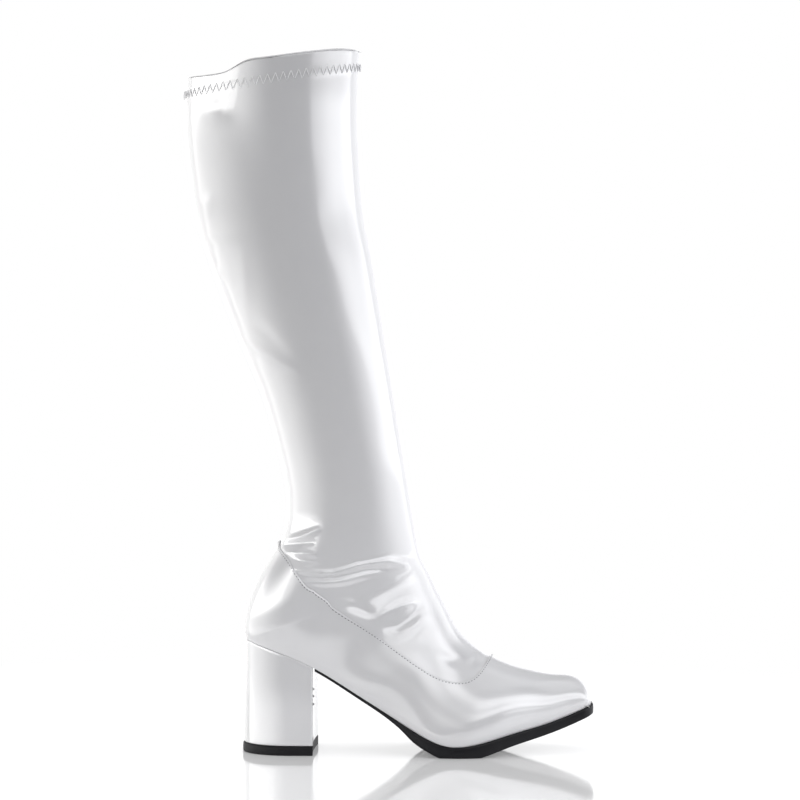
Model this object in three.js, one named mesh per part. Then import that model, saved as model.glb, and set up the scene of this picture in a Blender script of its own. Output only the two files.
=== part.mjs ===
// Go go boot for the right foot: knee-high stretch patent upper on a covered block heel.
// Millimetres, +Z up, +X to the toe, -Y to the outer side of the foot.
// The origin is the middle of the heel where it stands on the floor.
import * as THREE from 'three';

// Boot lengths and heights
const footLength = 234.5;     // upper, from the back of the seat to the front of the toe
const heelHeight = 76.6;      // floor to the feather edge at the back of the seat
const bootHeight = 475.5;     // floor to the front of the collar
const collarDrop = 17.4;      // back of the collar below its front
const collarScoop = 3.6;      // sides of the collar below the straight line from back to front
const topDepth = 119.3;       // collar, back to front
const topWidth = 94;          // collar, side to side
const instepRise = 47.4;      // instep above the seat edge
const vampHeight = 56.6;      // top of the foot above the feather edge at the ball
const ballWidth = 84;         // feather outline at the ball
const seatWidth = 58;         // feather outline at the heel seat
const toeSpring = 24.4;       // feather edge at the toe above the ball
const toeCorner = 6.5;        // radius of the two corners of the squared toe

// Upper
const wall = 1.8;             // patent with its lining
const seamStep = 0.7;         // foot part proud of the shaft along the seam
const proudFade = 6;          // height above the feather edge over which that step dies out
const hemDepth = 13;          // folded hem at the collar
const hemFold = 1.2;          // extra thickness of the fold, on the inside

// Sole, insole and heel
const ballSole = 7.6;         // floor to the feather edge at the ball
const waistSole = 1.7;        // outsole where it meets the heel
const toeSole = 6.6;          // outsole at the toe, measured upright
const soleMargin = 1.6;       // outsole edge proud of the feather outline at the forefoot
const soleBevel = 1.1;        // lower edge of the outsole
const insoleThickness = 2.5;
const insoleSlope = 1.6;      // insole narrower at the top, following the lean of the wall
const insoleEase = 1.3;       // more room at the toe, where the wall leans in
const heelLength = 48.4;      // heel block at its foot, back to breast
const heelTaper = 0.7;        // heel block narrower at the top, each way
const breastHollow = 1.2;     // hollow of the breast across the heel
const breastReach = 10;       // length of the heel over which its section takes that hollow
const liftThickness = 6.3;
const liftMargin = 0.8;       // lift proud of the heel block
const edgeBevel = 0.6;
const gap = 0.3;              // clearance between neighbouring pieces

// Mesh density: columns go from the back centre line to the front one, rows from the collar down
const halfColumns = 28;
const seatColumns = 4;        // of them, round the back of the seat
const cornerColumns = 3;      // round a toe corner
const frontColumns = 3;       // from the corner to the middle of the toe
const legRows = 16;
const ankleRows = 9;
const footRows = 10;
const seamEdge = 0.004;       // lean of the seam's raised edge, share of a row's way to the feather

// Places worked out from the sizes above
const seatBack = -heelLength / 2 + heelTaper;
const toeFront = seatBack + footLength;
const breastX = heelLength / 2;
const backHeight = bootHeight - collarDrop;
const instepHeight = heelHeight + instepRise;

// Smooth curve through knots, with a free second derivative of zero at both ends
function naturalSpline(knots, values) {
  const last = knots.length - 1;
  const bend = new Array(last + 1).fill(0);
  const carry = new Array(last + 1).fill(0);
  for (let i = 1; i < last; i += 1) {
    const before = knots[i] - knots[i - 1];
    const after = knots[i + 1] - knots[i];
    const jump = (values[i + 1] - values[i]) / after - (values[i] - values[i - 1]) / before;
    const ratio = before / (before + after);
    const pivot = ratio * bend[i - 1] + 2;
    bend[i] = (ratio - 1) / pivot;
    carry[i] = (6 * jump / (before + after) - ratio * carry[i - 1]) / pivot;
  }
  for (let i = last - 1; i > 0; i -= 1) {
    bend[i] = bend[i] * bend[i + 1] + carry[i];
  }
  return (knot) => {
    let i = 0;
    while (i < last - 1 && knot > knots[i + 1]) i += 1;
    const width = knots[i + 1] - knots[i];
    const right = (knot - knots[i]) / width;
    const left = 1 - right;
    const curve = (left ** 3 - left) * bend[i] + (right ** 3 - right) * bend[i + 1];
    return left * values[i] + right * values[i + 1] + curve * width * width / 6;
  };
}

function smoothStep(value) {
  const share = Math.min(1, Math.max(0, value));
  return share * share * (3 - 2 * share);
}

function mix(from, to, share) {
  return from + (to - from) * share;
}

// Feather edge of the last, the line where upper meets sole. along is a share of the foot length.
// pitch is a share of the drop from the seat to the ball, spring a share of the toe spring,
// outer and inner are half-widths as shares of the local width, from seat to ball.
const FEATHER = [
  { along: 0.00, pitch: 1.000, spring: 0.000, outer: 0.490, inner: 0.490 },
  { along: 0.08, pitch: 0.913, spring: 0.000, outer: 0.492, inner: 0.492 },
  { along: 0.20, pitch: 0.741, spring: 0.000, outer: 0.500, inner: 0.490 },
  { along: 0.33, pitch: 0.475, spring: 0.000, outer: 0.442, inner: 0.392 },
  { along: 0.42, pitch: 0.283, spring: 0.000, outer: 0.412, inner: 0.352 },
  { along: 0.51, pitch: 0.094, spring: 0.000, outer: 0.464, inner: 0.414 },
  { along: 0.58, pitch: 0.004, spring: 0.000, outer: 0.504, inner: 0.476 },
  { along: 0.63, pitch: 0.000, spring: 0.003, outer: 0.510, inner: 0.490 },
  { along: 0.68, pitch: 0.000, spring: 0.085, outer: 0.486, inner: 0.486 },
  { along: 0.76, pitch: 0.000, spring: 0.283, outer: 0.405, inner: 0.448 },
  { along: 0.85, pitch: 0.000, spring: 0.496, outer: 0.305, inner: 0.378 },
  { along: 0.93, pitch: 0.000, spring: 0.734, outer: 0.218, inner: 0.322 },
  { along: 1.00, pitch: 0.000, spring: 1.000, outer: 0.158, inner: 0.276 },
];
const seatRound = 0.125;      // length of the round back of the seat, share of the foot length
const waistStart = 0.2;       // where the seat width begins to give way to the ball width, likewise
const waistLength = 0.26;     // and over what share of the foot length it does so

function featherCurve(column) {
  return naturalSpline(FEATHER.map((row) => row.along), FEATHER.map((row) => row[column]));
}

const featherPitch = featherCurve('pitch');
const featherSpring = featherCurve('spring');
const featherOuter = featherCurve('outer');
const featherInner = featherCurve('inner');

function alongFoot(x) {
  return (x - seatBack) / footLength;
}

function featherZ(x) {
  const along = alongFoot(x);
  const drop = (heelHeight - ballSole) * featherPitch(along);
  return ballSole + drop + toeSpring * featherSpring(along);
}

function localWidth(x) {
  return mix(seatWidth, ballWidth, smoothStep((alongFoot(x) - waistStart) / waistLength));
}

// How much the rounded corner of the toe takes off each half-width
function cornerCut(x) {
  const reach = Math.min(toeCorner, Math.max(0, x - (toeFront - toeCorner)));
  return toeCorner - Math.sqrt(toeCorner * toeCorner - reach * reach);
}

function featherHalf(x, side) {
  const along = alongFoot(x);
  const share = side < 0 ? featherOuter(along) : featherInner(along);
  const round = Math.max(0, 1 - along / seatRound);
  return share * localWidth(x) * Math.sqrt(1 - round * round) - cornerCut(x);
}

// Travel along the outer feather edge from the back of the seat, for evenly spaced sections
function featherTravel() {
  const steps = 600;
  const table = [{ x: seatBack, travel: 0 }];
  for (let i = 1; i <= steps; i += 1) {
    const x = seatBack + footLength * (0.5 - 0.5 * Math.cos(Math.PI * i / steps));
    const before = table[i - 1];
    const across = featherHalf(x, -1) - featherHalf(before.x, -1);
    table.push({ x, travel: before.travel + Math.hypot(x - before.x, across) });
  }
  return table;
}

const TRAVEL = featherTravel();
const footTravel = TRAVEL[TRAVEL.length - 1].travel;

function featherXAt(travel) {
  let i = 1;
  while (i < TRAVEL.length - 1 && TRAVEL[i].travel < travel) i += 1;
  const from = TRAVEL[i - 1];
  const to = TRAVEL[i];
  return mix(from.x, to.x, (travel - from.travel) / (to.travel - from.travel));
}

function travelAt(x) {
  let i = 1;
  while (i < TRAVEL.length - 1 && TRAVEL[i].x < x) i += 1;
  const from = TRAVEL[i - 1];
  const to = TRAVEL[i];
  return mix(from.travel, to.travel, (x - from.x) / (to.x - from.x));
}

// Shaft sections from the collar to the seat edge. backX and frontX are shares of the top depth
// from the back of the seat, backUp and frontUp shares of the height of the leg behind and in
// front, outer and inner half-widths as shares of the top width, wide is where the section is
// widest from back to front, and back is the fullness of its back.
const SHAFT = [
  { backX: -0.339, backUp: 1.000, frontX: 0.661, frontUp: 1.000, outer: 0.500, inner: 0.500, wide: 0.50, back: 2.0 },
  { backX: -0.346, backUp: 0.914, frontX: 0.648, frontUp: 0.900, outer: 0.500, inner: 0.500, wide: 0.50, back: 2.0 },
  { backX: -0.319, backUp: 0.824, frontX: 0.655, frontUp: 0.806, outer: 0.496, inner: 0.496, wide: 0.50, back: 2.0 },
  { backX: -0.274, backUp: 0.740, frontX: 0.680, frontUp: 0.690, outer: 0.484, inner: 0.484, wide: 0.49, back: 2.0 },
  { backX: -0.203, backUp: 0.669, frontX: 0.716, frontUp: 0.623, outer: 0.466, inner: 0.466, wide: 0.49, back: 2.0 },
  { backX: -0.111, backUp: 0.591, frontX: 0.760, frontUp: 0.533, outer: 0.442, inner: 0.442, wide: 0.48, back: 2.0 },
  { backX: -0.005, backUp: 0.510, frontX: 0.802, frontUp: 0.444, outer: 0.416, inner: 0.416, wide: 0.47, back: 2.0 },
  { backX: 0.095, backUp: 0.434, frontX: 0.841, frontUp: 0.360, outer: 0.388, inner: 0.388, wide: 0.46, back: 2.0 },
  { backX: 0.197, backUp: 0.323, frontX: 0.893, frontUp: 0.245, outer: 0.362, inner: 0.362, wide: 0.45, back: 2.0 },
  { backX: 0.237, backUp: 0.258, frontX: 0.925, frontUp: 0.180, outer: 0.354, inner: 0.354, wide: 0.44, back: 2.0 },
  { backX: 0.233, backUp: 0.205, frontX: 0.946, frontUp: 0.132, outer: 0.350, inner: 0.350, wide: 0.43, back: 2.1 },
  { backX: 0.197, backUp: 0.171, frontX: 0.958, frontUp: 0.104, outer: 0.348, inner: 0.348, wide: 0.42, back: 2.2 },
  { backX: 0.114, backUp: 0.129, frontX: 0.973, frontUp: 0.070, outer: 0.346, inner: 0.346, wide: 0.41, back: 2.3 },
  { backX: 0.026, backUp: 0.069, frontX: 0.993, frontUp: 0.032, outer: 0.345, inner: 0.345, wide: 0.39, back: 2.6 },
  { backX: -0.006, backUp: 0.022, frontX: 1.017, frontUp: 0.010, outer: 0.345, inner: 0.345, wide: 0.37, back: 2.7 },
  { backX: 0.000, backUp: 0.000, frontX: 1.033, frontUp: 0.000, outer: 0.343, inner: 0.343, wide: 0.36, back: 2.7 },
];

// Foot sections from the seat to the toe. along is where the section stands on the feather edge,
// ridge where it meets the top of the foot, both shares of the foot length, up the height between
// them as a share of the vamp height, outer and inner half-widths as shares of the local width,
// and shift moves the ridge to the inner side, as a share of the ball width.
const FOOT = [
  { along: 0.134, ridge: 0.553, up: 0.798, outer: 0.552, inner: 0.552, shift: 0.000, wide: 0.34, back: 2.4, top: 2.0 },
  { along: 0.228, ridge: 0.574, up: 0.830, outer: 0.540, inner: 0.540, shift: 0.000, wide: 0.34, back: 2.1, top: 2.0 },
  { along: 0.335, ridge: 0.603, up: 0.883, outer: 0.488, inner: 0.480, shift: 0.000, wide: 0.32, back: 2.0, top: 1.95 },
  { along: 0.420, ridge: 0.633, up: 0.919, outer: 0.448, inner: 0.424, shift: 0.000, wide: 0.29, back: 2.0, top: 1.9 },
  { along: 0.505, ridge: 0.672, up: 0.981, outer: 0.474, inner: 0.440, shift: 0.000, wide: 0.25, back: 2.0, top: 1.85 },
  { along: 0.578, ridge: 0.710, up: 0.998, outer: 0.512, inner: 0.488, shift: 0.002, wide: 0.20, back: 2.0, top: 1.85 },
  { along: 0.633, ridge: 0.744, up: 0.934, outer: 0.520, inner: 0.502, shift: 0.005, wide: 0.18, back: 2.0, top: 1.85 },
  { along: 0.697, ridge: 0.787, up: 0.816, outer: 0.482, inner: 0.494, shift: 0.012, wide: 0.18, back: 2.0, top: 1.9 },
  { along: 0.761, ridge: 0.829, up: 0.701, outer: 0.412, inner: 0.456, shift: 0.022, wide: 0.19, back: 2.0, top: 1.95 },
  { along: 0.825, ridge: 0.872, up: 0.595, outer: 0.337, inner: 0.407, shift: 0.034, wide: 0.21, back: 2.0, top: 2.0 },
  { along: 0.889, ridge: 0.914, up: 0.504, outer: 0.268, inner: 0.358, shift: 0.045, wide: 0.24, back: 2.0, top: 2.1 },
  { along: 0.940, ridge: 0.953, up: 0.408, outer: 0.214, inner: 0.322, shift: 0.053, wide: 0.27, back: 2.0, top: 2.2 },
  { along: 0.972, ridge: 0.979, up: 0.290, outer: 0.184, inner: 0.298, shift: 0.057, wide: 0.30, back: 2.0, top: 2.3 },
  { along: 0.990, ridge: 0.992, up: 0.172, outer: 0.168, inner: 0.286, shift: 0.059, wide: 0.34, back: 2.0, top: 2.3 },
  { along: 1.000, ridge: 1.000, up: 0.000, outer: 0.160, inner: 0.278, shift: 0.060, wide: 0.40, back: 2.0, top: 2.3 },
];

// Shaft rows as lengths, with the travel of their back point down the back of the leg
function shaftStations() {
  let travel = 0;
  let before = null;
  return SHAFT.map((row) => {
    const backX = seatBack + row.backX * topDepth;
    const backZ = heelHeight + row.backUp * (backHeight - heelHeight);
    if (before) travel += Math.hypot(backX - before.x, backZ - before.z);
    before = { x: backX, z: backZ };
    return {
      travel, backX, backZ,
      frontX: seatBack + row.frontX * topDepth,
      frontZ: instepHeight + row.frontUp * (bootHeight - instepHeight),
      outer: row.outer * topWidth,
      inner: row.inner * topWidth,
      shift: 0, wide: row.wide, back: row.back, top: 2,
    };
  });
}

// Foot rows as lengths, carried on from the end of the shaft
function footStations(shaftTravel) {
  return FOOT.map((row) => {
    const x = seatBack + row.along * footLength;
    return {
      travel: shaftTravel + travelAt(x),
      frontX: seatBack + row.ridge * footLength,
      frontZ: featherZ(x) + row.up * vampHeight,
      outer: row.outer * localWidth(x),
      inner: row.inner * localWidth(x),
      shift: row.shift * ballWidth, wide: row.wide, back: row.back, top: row.top,
    };
  });
}

const SHAFT_ROWS = shaftStations();
const shaftTravel = SHAFT_ROWS[SHAFT_ROWS.length - 1].travel;
const STATIONS = [...SHAFT_ROWS, ...footStations(shaftTravel)];

function stationCurve(rows, column) {
  return naturalSpline(rows.map((row) => row.travel), rows.map((row) => row[column]));
}

const backXAt = stationCurve(SHAFT_ROWS, 'backX');
const backZAt = stationCurve(SHAFT_ROWS, 'backZ');
const frontXAt = stationCurve(STATIONS, 'frontX');
const frontZAt = stationCurve(STATIONS, 'frontZ');
const outerAt = stationCurve(STATIONS, 'outer');
const innerAt = stationCurve(STATIONS, 'inner');
const shiftAt = stationCurve(STATIONS, 'shift');
const wideAt = stationCurve(STATIONS, 'wide');
const backAt = stationCurve(STATIONS, 'back');
const topAt = stationCurve(STATIONS, 'top');

const ankleDown = 0.77;       // section above the ankle where the leg ends and the instep begins
const ballDown = 1.75;        // section past the throat, the last that the instep can reach

// down is 0 at the collar, 1 at the seat edge and 2 at the front of the toe
function travelOf(down) {
  return down < 1 ? down * shaftTravel : shaftTravel + (down - 1) * footTravel;
}

// Line of a section in the side view, from its foot on the back or feather to its ridge point
function sectionLine(down) {
  const travel = travelOf(down);
  const baseX = down > 1 ? featherXAt(travel - shaftTravel) : backXAt(travel);
  return {
    travel, baseX,
    baseZ: down > 1 ? featherZ(baseX) : backZAt(travel),
    frontX: frontXAt(travel),
    frontZ: frontZAt(travel),
  };
}

// One half of a section: its line and its shape, with the angle at which it starts at its foot
function halfSection(down, side) {
  const line = sectionLine(down);
  const shift = shiftAt(line.travel);
  const reach = side < 0 ? outerAt(line.travel) + shift : innerAt(line.travel) - shift;
  const half = reach - (down > 1 ? cornerCut(line.baseX) : 0);
  const foot = down > 1 ? featherHalf(line.baseX, side) - side * shift : 0;
  return {
    ...line, side, shift, half,
    wide: wideAt(line.travel),
    back: backAt(line.travel),
    top: topAt(line.travel),
    start: -Math.acos(Math.min(0.998, Math.max(0, foot / half))),
  };
}

// How far up its line a half section has climbed at an angle, a quarter turn at the ridge
function climbAt(half, angle) {
  const turn = Math.abs(Math.sin(angle));
  if (angle < 0) return half.wide * (1 - (turn / Math.sin(-half.start)) ** (2 / half.back));
  return half.wide + (1 - half.wide) * turn ** (2 / half.top);
}

function angleAt(half, climb) {
  const share = Math.min(1, Math.max(0, climb));
  if (share < half.wide) {
    return -Math.asin(Math.sin(-half.start) * (1 - share / half.wide) ** (half.back / 2));
  }
  return Math.asin(((share - half.wide) / (1 - half.wide)) ** (half.top / 2));
}

function pointAt(half, climb, angle) {
  return new THREE.Vector3(
    mix(half.baseX, half.frontX, climb),
    half.shift + half.side * half.half * Math.cos(angle),
    mix(half.baseZ, half.frontZ, climb),
  );
}

// Point of the last: how far down it, and its lean round the section, which is -1 at the back
// centre line, 0 where the section is widest and 1 at its ridge
function lastPoint(down, lean, side) {
  const half = halfSection(down, side);
  const angle = Math.max(half.start, lean * Math.PI / 2);
  return pointAt(half, climbAt(half, angle), angle);
}

// Point of the last at a place of the side view, found between two sections
function sidePoint(x, z, side) {
  const halvings = 26;
  let above = ankleDown / 2;
  let below = ballDown;
  for (let i = 0; i < halvings; i += 1) {
    const middle = (above + below) / 2;
    const line = sectionLine(middle);
    const alongX = line.frontX - line.baseX;
    const alongZ = line.frontZ - line.baseZ;
    const over = alongX * (z - line.baseZ) - alongZ * (x - line.baseX);
    if (over < 0) above = middle;
    else below = middle;
  }
  const half = halfSection(above, side);
  const alongX = half.frontX - half.baseX;
  const alongZ = half.frontZ - half.baseZ;
  const climb = ((x - half.baseX) * alongX + (z - half.baseZ) * alongZ) / (alongX ** 2 + alongZ ** 2);
  return pointAt(half, climb, angleAt(half, climb));
}

// Seam of the foot part with the shaft, the same on both sides. over is a share of its way from
// the back centre line to the throat, down and lean its place on the last.
const SEAM = [
  { over: 0.000, down: 0.820, lean: -1.00 },
  { over: 0.060, down: 0.833, lean: -0.75 },
  { over: 0.150, down: 0.869, lean: -0.36 },
  { over: 0.240, down: 0.934, lean: -0.04 },
  { over: 0.290, down: 0.966, lean: 0.06 },
  { over: 0.345, down: 1.010, lean: 0.13 },
  { over: 0.400, down: 1.113, lean: 0.14 },
  { over: 0.455, down: 1.197, lean: 0.13 },
  { over: 0.560, down: 1.305, lean: 0.15 },
  { over: 0.665, down: 1.405, lean: 0.21 },
  { over: 0.770, down: 1.499, lean: 0.32 },
  { over: 0.830, down: 1.550, lean: 0.45 },
  { over: 0.900, down: 1.573, lean: 0.66 },
  { over: 1.000, down: 1.582, lean: 1.00 },
];
const seamDown = naturalSpline(SEAM.map((row) => row.over), SEAM.map((row) => row.down));
const seamLean = naturalSpline(SEAM.map((row) => row.over), SEAM.map((row) => row.lean));

// Lean at which a section meets the feather edge, or the back centre line above the seat
function footLean(down, side) {
  return halfSection(down, side).start / (Math.PI / 2);
}

// How far down the last each column of the half ring meets the feather edge
function featherDown(column) {
  const corner = halfColumns - frontColumns;
  const middle = corner - seatColumns - cornerColumns;
  const seatEnd = 0.1;
  const cornerStart = 0.955;
  if (column <= seatColumns) return 1 + seatEnd * (column / seatColumns) ** 1.4;
  if (column <= corner - cornerColumns) return 1 + mix(seatEnd, cornerStart, (column - seatColumns) / middle);
  return Math.min(2, 2 - (1 - cornerStart) * (corner - column) / cornerColumns);
}

// Travel down the ridge from the ankle section to the throat, to space the rows there evenly
function ridgeTravel() {
  const steps = 200;
  const table = [{ down: ankleDown, travel: 0 }];
  let before = sectionLine(ankleDown);
  for (let i = 1; i <= steps; i += 1) {
    const down = mix(ankleDown, seamDown(1), i / steps);
    const line = sectionLine(down);
    const step = Math.hypot(line.frontX - before.frontX, line.frontZ - before.frontZ);
    table.push({ down, travel: table[i - 1].travel + step });
    before = line;
  }
  return table;
}

const RIDGE = ridgeTravel();

function ridgeDown(share) {
  const target = share * RIDGE[RIDGE.length - 1].travel;
  let i = 1;
  while (i < RIDGE.length - 1 && RIDGE[i].travel < target) i += 1;
  const from = RIDGE[i - 1];
  const to = RIDGE[i];
  return mix(from.down, to.down, (target - from.travel) / (to.travel - from.travel));
}

function flat(point) {
  return new THREE.Vector2(point.x, point.z);
}

// Leg between the collar and the ankle section. over runs from the back centre line to the front
// one, deep from the upper edge of the panel to its lower one.
function legPoint(over, deep, side) {
  const scoop = collarScoop * Math.sin(Math.PI * over) * (1 - deep) / shaftTravel;
  return lastPoint(deep * ankleDown + scoop, 2 * over - 1, side);
}

// Ankle and instep between that section and the seam: a patch drawn between its four edges in the
// side view and laid on the last
function anklePoint(over, deep, side) {
  const backDown = mix(ankleDown, seamDown(0), deep);
  const frontDown = ridgeDown(deep);
  if (over === 0) return lastPoint(backDown, -1, side);
  if (over === 1) return lastPoint(frontDown, 1, side);
  const share = climbAt(halfSection(ankleDown, side), (2 * over - 1) * Math.PI / 2);
  const place = flat(lastPoint(backDown, -1, side)).lerp(flat(lastPoint(frontDown, 1, side)), share);
  const seam = flat(lastPoint(seamDown(over), seamLean(over), side));
  const seamBack = flat(lastPoint(seamDown(0), -1, side));
  const throat = flat(lastPoint(seamDown(1), 1, side));
  place.addScaledVector(seam.sub(seamBack.lerp(throat, share)), deep);
  return sidePoint(place.x, place.y, side);
}

// Foot part between the seam and the feather edge, for one column of the half ring. The last few
// columns end on the front edge of the toe.
function footPoint(column, deep, side) {
  const over = column / halfColumns;
  const edgeDown = featherDown(column);
  const across = Math.max(0, column - halfColumns + frontColumns) / frontColumns;
  const edgeLean = mix(footLean(edgeDown, side), 1, across);
  return lastPoint(mix(seamDown(over), edgeDown, deep), mix(seamLean(over), edgeLean, deep), side);
}

// Rows of the wall from the collar to the feather edge: where each one lies, how far it stands
// proud, and how thick the wall is there
function wallRows() {
  const hemShare = hemDepth / (shaftTravel * ankleDown);
  const leg = (deep) => (column, side) => legPoint(column / halfColumns, deep, side);
  const ankle = (deep) => (column, side) => anklePoint(column / halfColumns, deep, side);
  const foot = (deep) => (column, side) => footPoint(column, deep, side);
  const rows = [
    { place: leg(0), proud: 0, thick: wall + hemFold },
    { place: leg(hemShare), proud: 0, thick: wall + hemFold },
  ];
  for (let i = 0; i < legRows; i += 1) {
    rows.push({ place: leg(mix(hemShare * 1.1, 1, i / legRows)), proud: 0, thick: wall });
  }
  for (let i = 0; i <= ankleRows; i += 1) {
    rows.push({ place: ankle(i / ankleRows), proud: 0, thick: wall });
  }
  for (let i = 0; i <= footRows; i += 1) {
    const edge = i === 0 ? seamEdge : 0;
    rows.push({ place: foot(edge + i / footRows), proud: seamStep, thick: wall });
  }
  return rows;
}

// The foot part comes down to the feather outline without its step
function proudAt(row, point) {
  return row.proud * smoothStep((point.z - featherZ(point.x)) / proudFade);
}

// One row all the way round: the outer half from back to front, then the inner half back again
function ring(row) {
  const points = [];
  for (let column = 0; column <= halfColumns; column += 1) points.push(row.place(column, -1));
  for (let column = halfColumns - 1; column > 0; column -= 1) points.push(row.place(column, 1));
  return points;
}

function ringNormal(rings, r, c) {
  const count = rings[r].length;
  const down = rings[Math.min(rings.length - 1, r + 1)][c].clone().sub(rings[Math.max(0, r - 1)][c]);
  const around = rings[r][(c + 1) % count].clone().sub(rings[r][(c + count - 1) % count]);
  return down.cross(around).normalize();
}

// 1 at the round seat and the toe corners, 0 along the sides of the foot
function endShare(x) {
  const fade = 0.06;
  const toeReach = 2.5;
  const seat = 1 - smoothStep((alongFoot(x) - seatRound) / fade);
  const toe = smoothStep((x - toeFront) / toeCorner + toeReach);
  return Math.max(seat, toe);
}

const slopeReach = 0.4;       // each way, to measure the slope of the feather outline
const slopeEnd = 0.05;        // kept off the very ends of the outline

// Point inside the feather edge, or outside it for a negative inset, on the feather surface.
// Along the sides it keeps its place along the foot, so that neighbouring pieces share edge points.
function featherInset(x, side, inset) {
  const from = Math.max(seatBack + slopeEnd, x - slopeReach);
  const to = Math.min(toeFront - slopeEnd, x + slopeReach);
  const slope = (featherHalf(to, side) - featherHalf(from, side)) / (to - from);
  const length = Math.hypot(1, slope);
  const turned = endShare(x);
  const innerX = x + turned * inset * slope / length;
  const innerY = side * (featherHalf(x, side) - inset * (1 + (1 - turned) * slope * slope) / length);
  return new THREE.Vector3(innerX, innerY, featherZ(innerX));
}

// Inner edge of the wall on the feather surface, for one column of the whole ring
function innerEdge(c, point) {
  const column = c <= halfColumns ? c : 2 * halfColumns - c;
  const backX = seatBack + wall;
  const frontX = toeFront - wall;
  if (column === 0) return new THREE.Vector3(backX, 0, featherZ(backX));
  if (column > halfColumns - frontColumns) return new THREE.Vector3(frontX, point.y, featherZ(frontX));
  return featherInset(point.x, c <= halfColumns ? -1 : 1, wall);
}

function triangleMesh(name, points, faces, material) {
  const geometry = new THREE.BufferGeometry();
  geometry.setAttribute('position', new THREE.Float32BufferAttribute(points.flatMap((p) => [p.x, p.y, p.z]), 3));
  geometry.setIndex(faces);
  geometry.computeVertexNormals();
  const mesh = new THREE.Mesh(geometry, material);
  mesh.name = name;
  return mesh;
}

function pushQuad(faces, a, b, c, d) {
  faces.push(a, b, c, a, c, d);
}

function patent() {
  return new THREE.MeshStandardMaterial({ color: 0xf2f2f4, roughness: 0.12, metalness: 0 });
}

function blackRubber() {
  return new THREE.MeshStandardMaterial({ color: 0x141416, roughness: 0.45, metalness: 0 });
}

function sockLining() {
  return new THREE.MeshStandardMaterial({ color: 0xd9d4cb, roughness: 0.85, metalness: 0 });
}

function upper() {
  const rows = wallRows();
  const rings = rows.map(ring);
  const last = rings.length - 1;
  const count = rings[0].length;
  const points = [];
  const outerId = rings.map(() => []);
  const innerId = rings.map(() => []);
  const seamRow = last - footRows;
  for (let r = 0; r <= last; r += 1) {
    for (let c = 0; c < count; c += 1) {
      const base = rings[r][c];
      const normal = ringNormal(rings, r, c);
      const outerPoint = base.clone().addScaledVector(normal, proudAt(rows[r], base));
      outerId[r].push(points.push(outerPoint) - 1);
      if (r === seamRow) {
        innerId[r].push(innerId[r - 1][c]);
        continue;
      }
      const innerPoint = r === last ? innerEdge(c, base) : base.clone().addScaledVector(normal, -rows[r].thick);
      innerId[r].push(points.push(innerPoint) - 1);
    }
  }
  const faces = [];
  for (let c = 0; c < count; c += 1) {
    const next = (c + 1) % count;
    for (let r = 0; r < last; r += 1) {
      pushQuad(faces, outerId[r][c], outerId[r + 1][c], outerId[r + 1][next], outerId[r][next]);
      if (r + 1 === seamRow) continue;
      pushQuad(faces, innerId[r][c], innerId[r][next], innerId[r + 1][next], innerId[r + 1][c]);
    }
    pushQuad(faces, outerId[0][c], outerId[0][next], innerId[0][next], innerId[0][c]);
    pushQuad(faces, outerId[last][next], outerId[last][c], innerId[last][c], innerId[last][next]);
  }
  return triangleMesh('upper', points, faces, patent());
}

// Places along the foot where upper, insole, sole and heel all have an edge point
function outlinePlaces(from, to) {
  const columns = Array.from({ length: halfColumns - frontColumns }, (_, column) => column);
  const places = columns.map((column) => featherXAt((featherDown(column) - 1) * footTravel));
  const between = places.filter((x) => x > from + endFlat && x < to - endFlat);
  return [from, ...between, to];
}

// One layer of a flat piece: an outer and an inner edge point for each place along it
function layer(places, edgeAt, heightAt) {
  return places.map((place) => {
    const outerPoint = edgeAt(place, -1);
    const innerPoint = edgeAt(place, 1);
    outerPoint.z = heightAt(outerPoint.x);
    innerPoint.z = heightAt(innerPoint.x);
    return [outerPoint, innerPoint];
  });
}

// Closed solid from layers stacked upwards, capped by strips from side to side
function stack(name, layers, material) {
  const points = [];
  const ids = layers.map((pairs) => pairs.map((pair) => pair.map((point) => points.push(point) - 1)));
  const faces = [];
  const top = ids.length - 1;
  const end = ids[0].length - 1;
  for (let k = 0; k < top; k += 1) {
    for (let i = 0; i < end; i += 1) {
      pushQuad(faces, ids[k][i][0], ids[k][i + 1][0], ids[k + 1][i + 1][0], ids[k + 1][i][0]);
      pushQuad(faces, ids[k][i + 1][1], ids[k][i][1], ids[k + 1][i][1], ids[k + 1][i + 1][1]);
    }
    pushQuad(faces, ids[k][0][1], ids[k][0][0], ids[k + 1][0][0], ids[k + 1][0][1]);
    pushQuad(faces, ids[k][end][0], ids[k][end][1], ids[k + 1][end][1], ids[k + 1][end][0]);
  }
  for (let i = 0; i < end; i += 1) {
    pushQuad(faces, ids[0][i][0], ids[0][i][1], ids[0][i + 1][1], ids[0][i + 1][0]);
    pushQuad(faces, ids[top][i][0], ids[top][i + 1][0], ids[top][i + 1][1], ids[top][i][1]);
  }
  return triangleMesh(name, points, faces, material);
}

// Edge point of the feather outline moved outwards by a margin, for one place along the foot
function featherEdge(x, side, margin) {
  const point = featherInset(x, side, -margin);
  return new THREE.Vector3(point.x, point.y, 0);
}

const endFlat = 0.12;         // where the round back of an outline starts, just ahead of its very end

function insole() {
  const inset = wall + gap;
  const places = outlinePlaces(seatBack + endFlat, toeFront);
  const easeReach = 4 * toeCorner;
  const ease = (x) => insoleEase * smoothStep((x - toeFront) / easeReach + 1);
  const edge = (extra) => (x, side) => featherEdge(x, side, -inset - extra - ease(x));
  const rise = (up) => (x) => featherZ(x) + up;
  return stack('insole', [
    layer(places, edge(0), rise(0)),
    layer(places, edge(insoleSlope), rise(insoleThickness)),
  ], sockLining());
}

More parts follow.
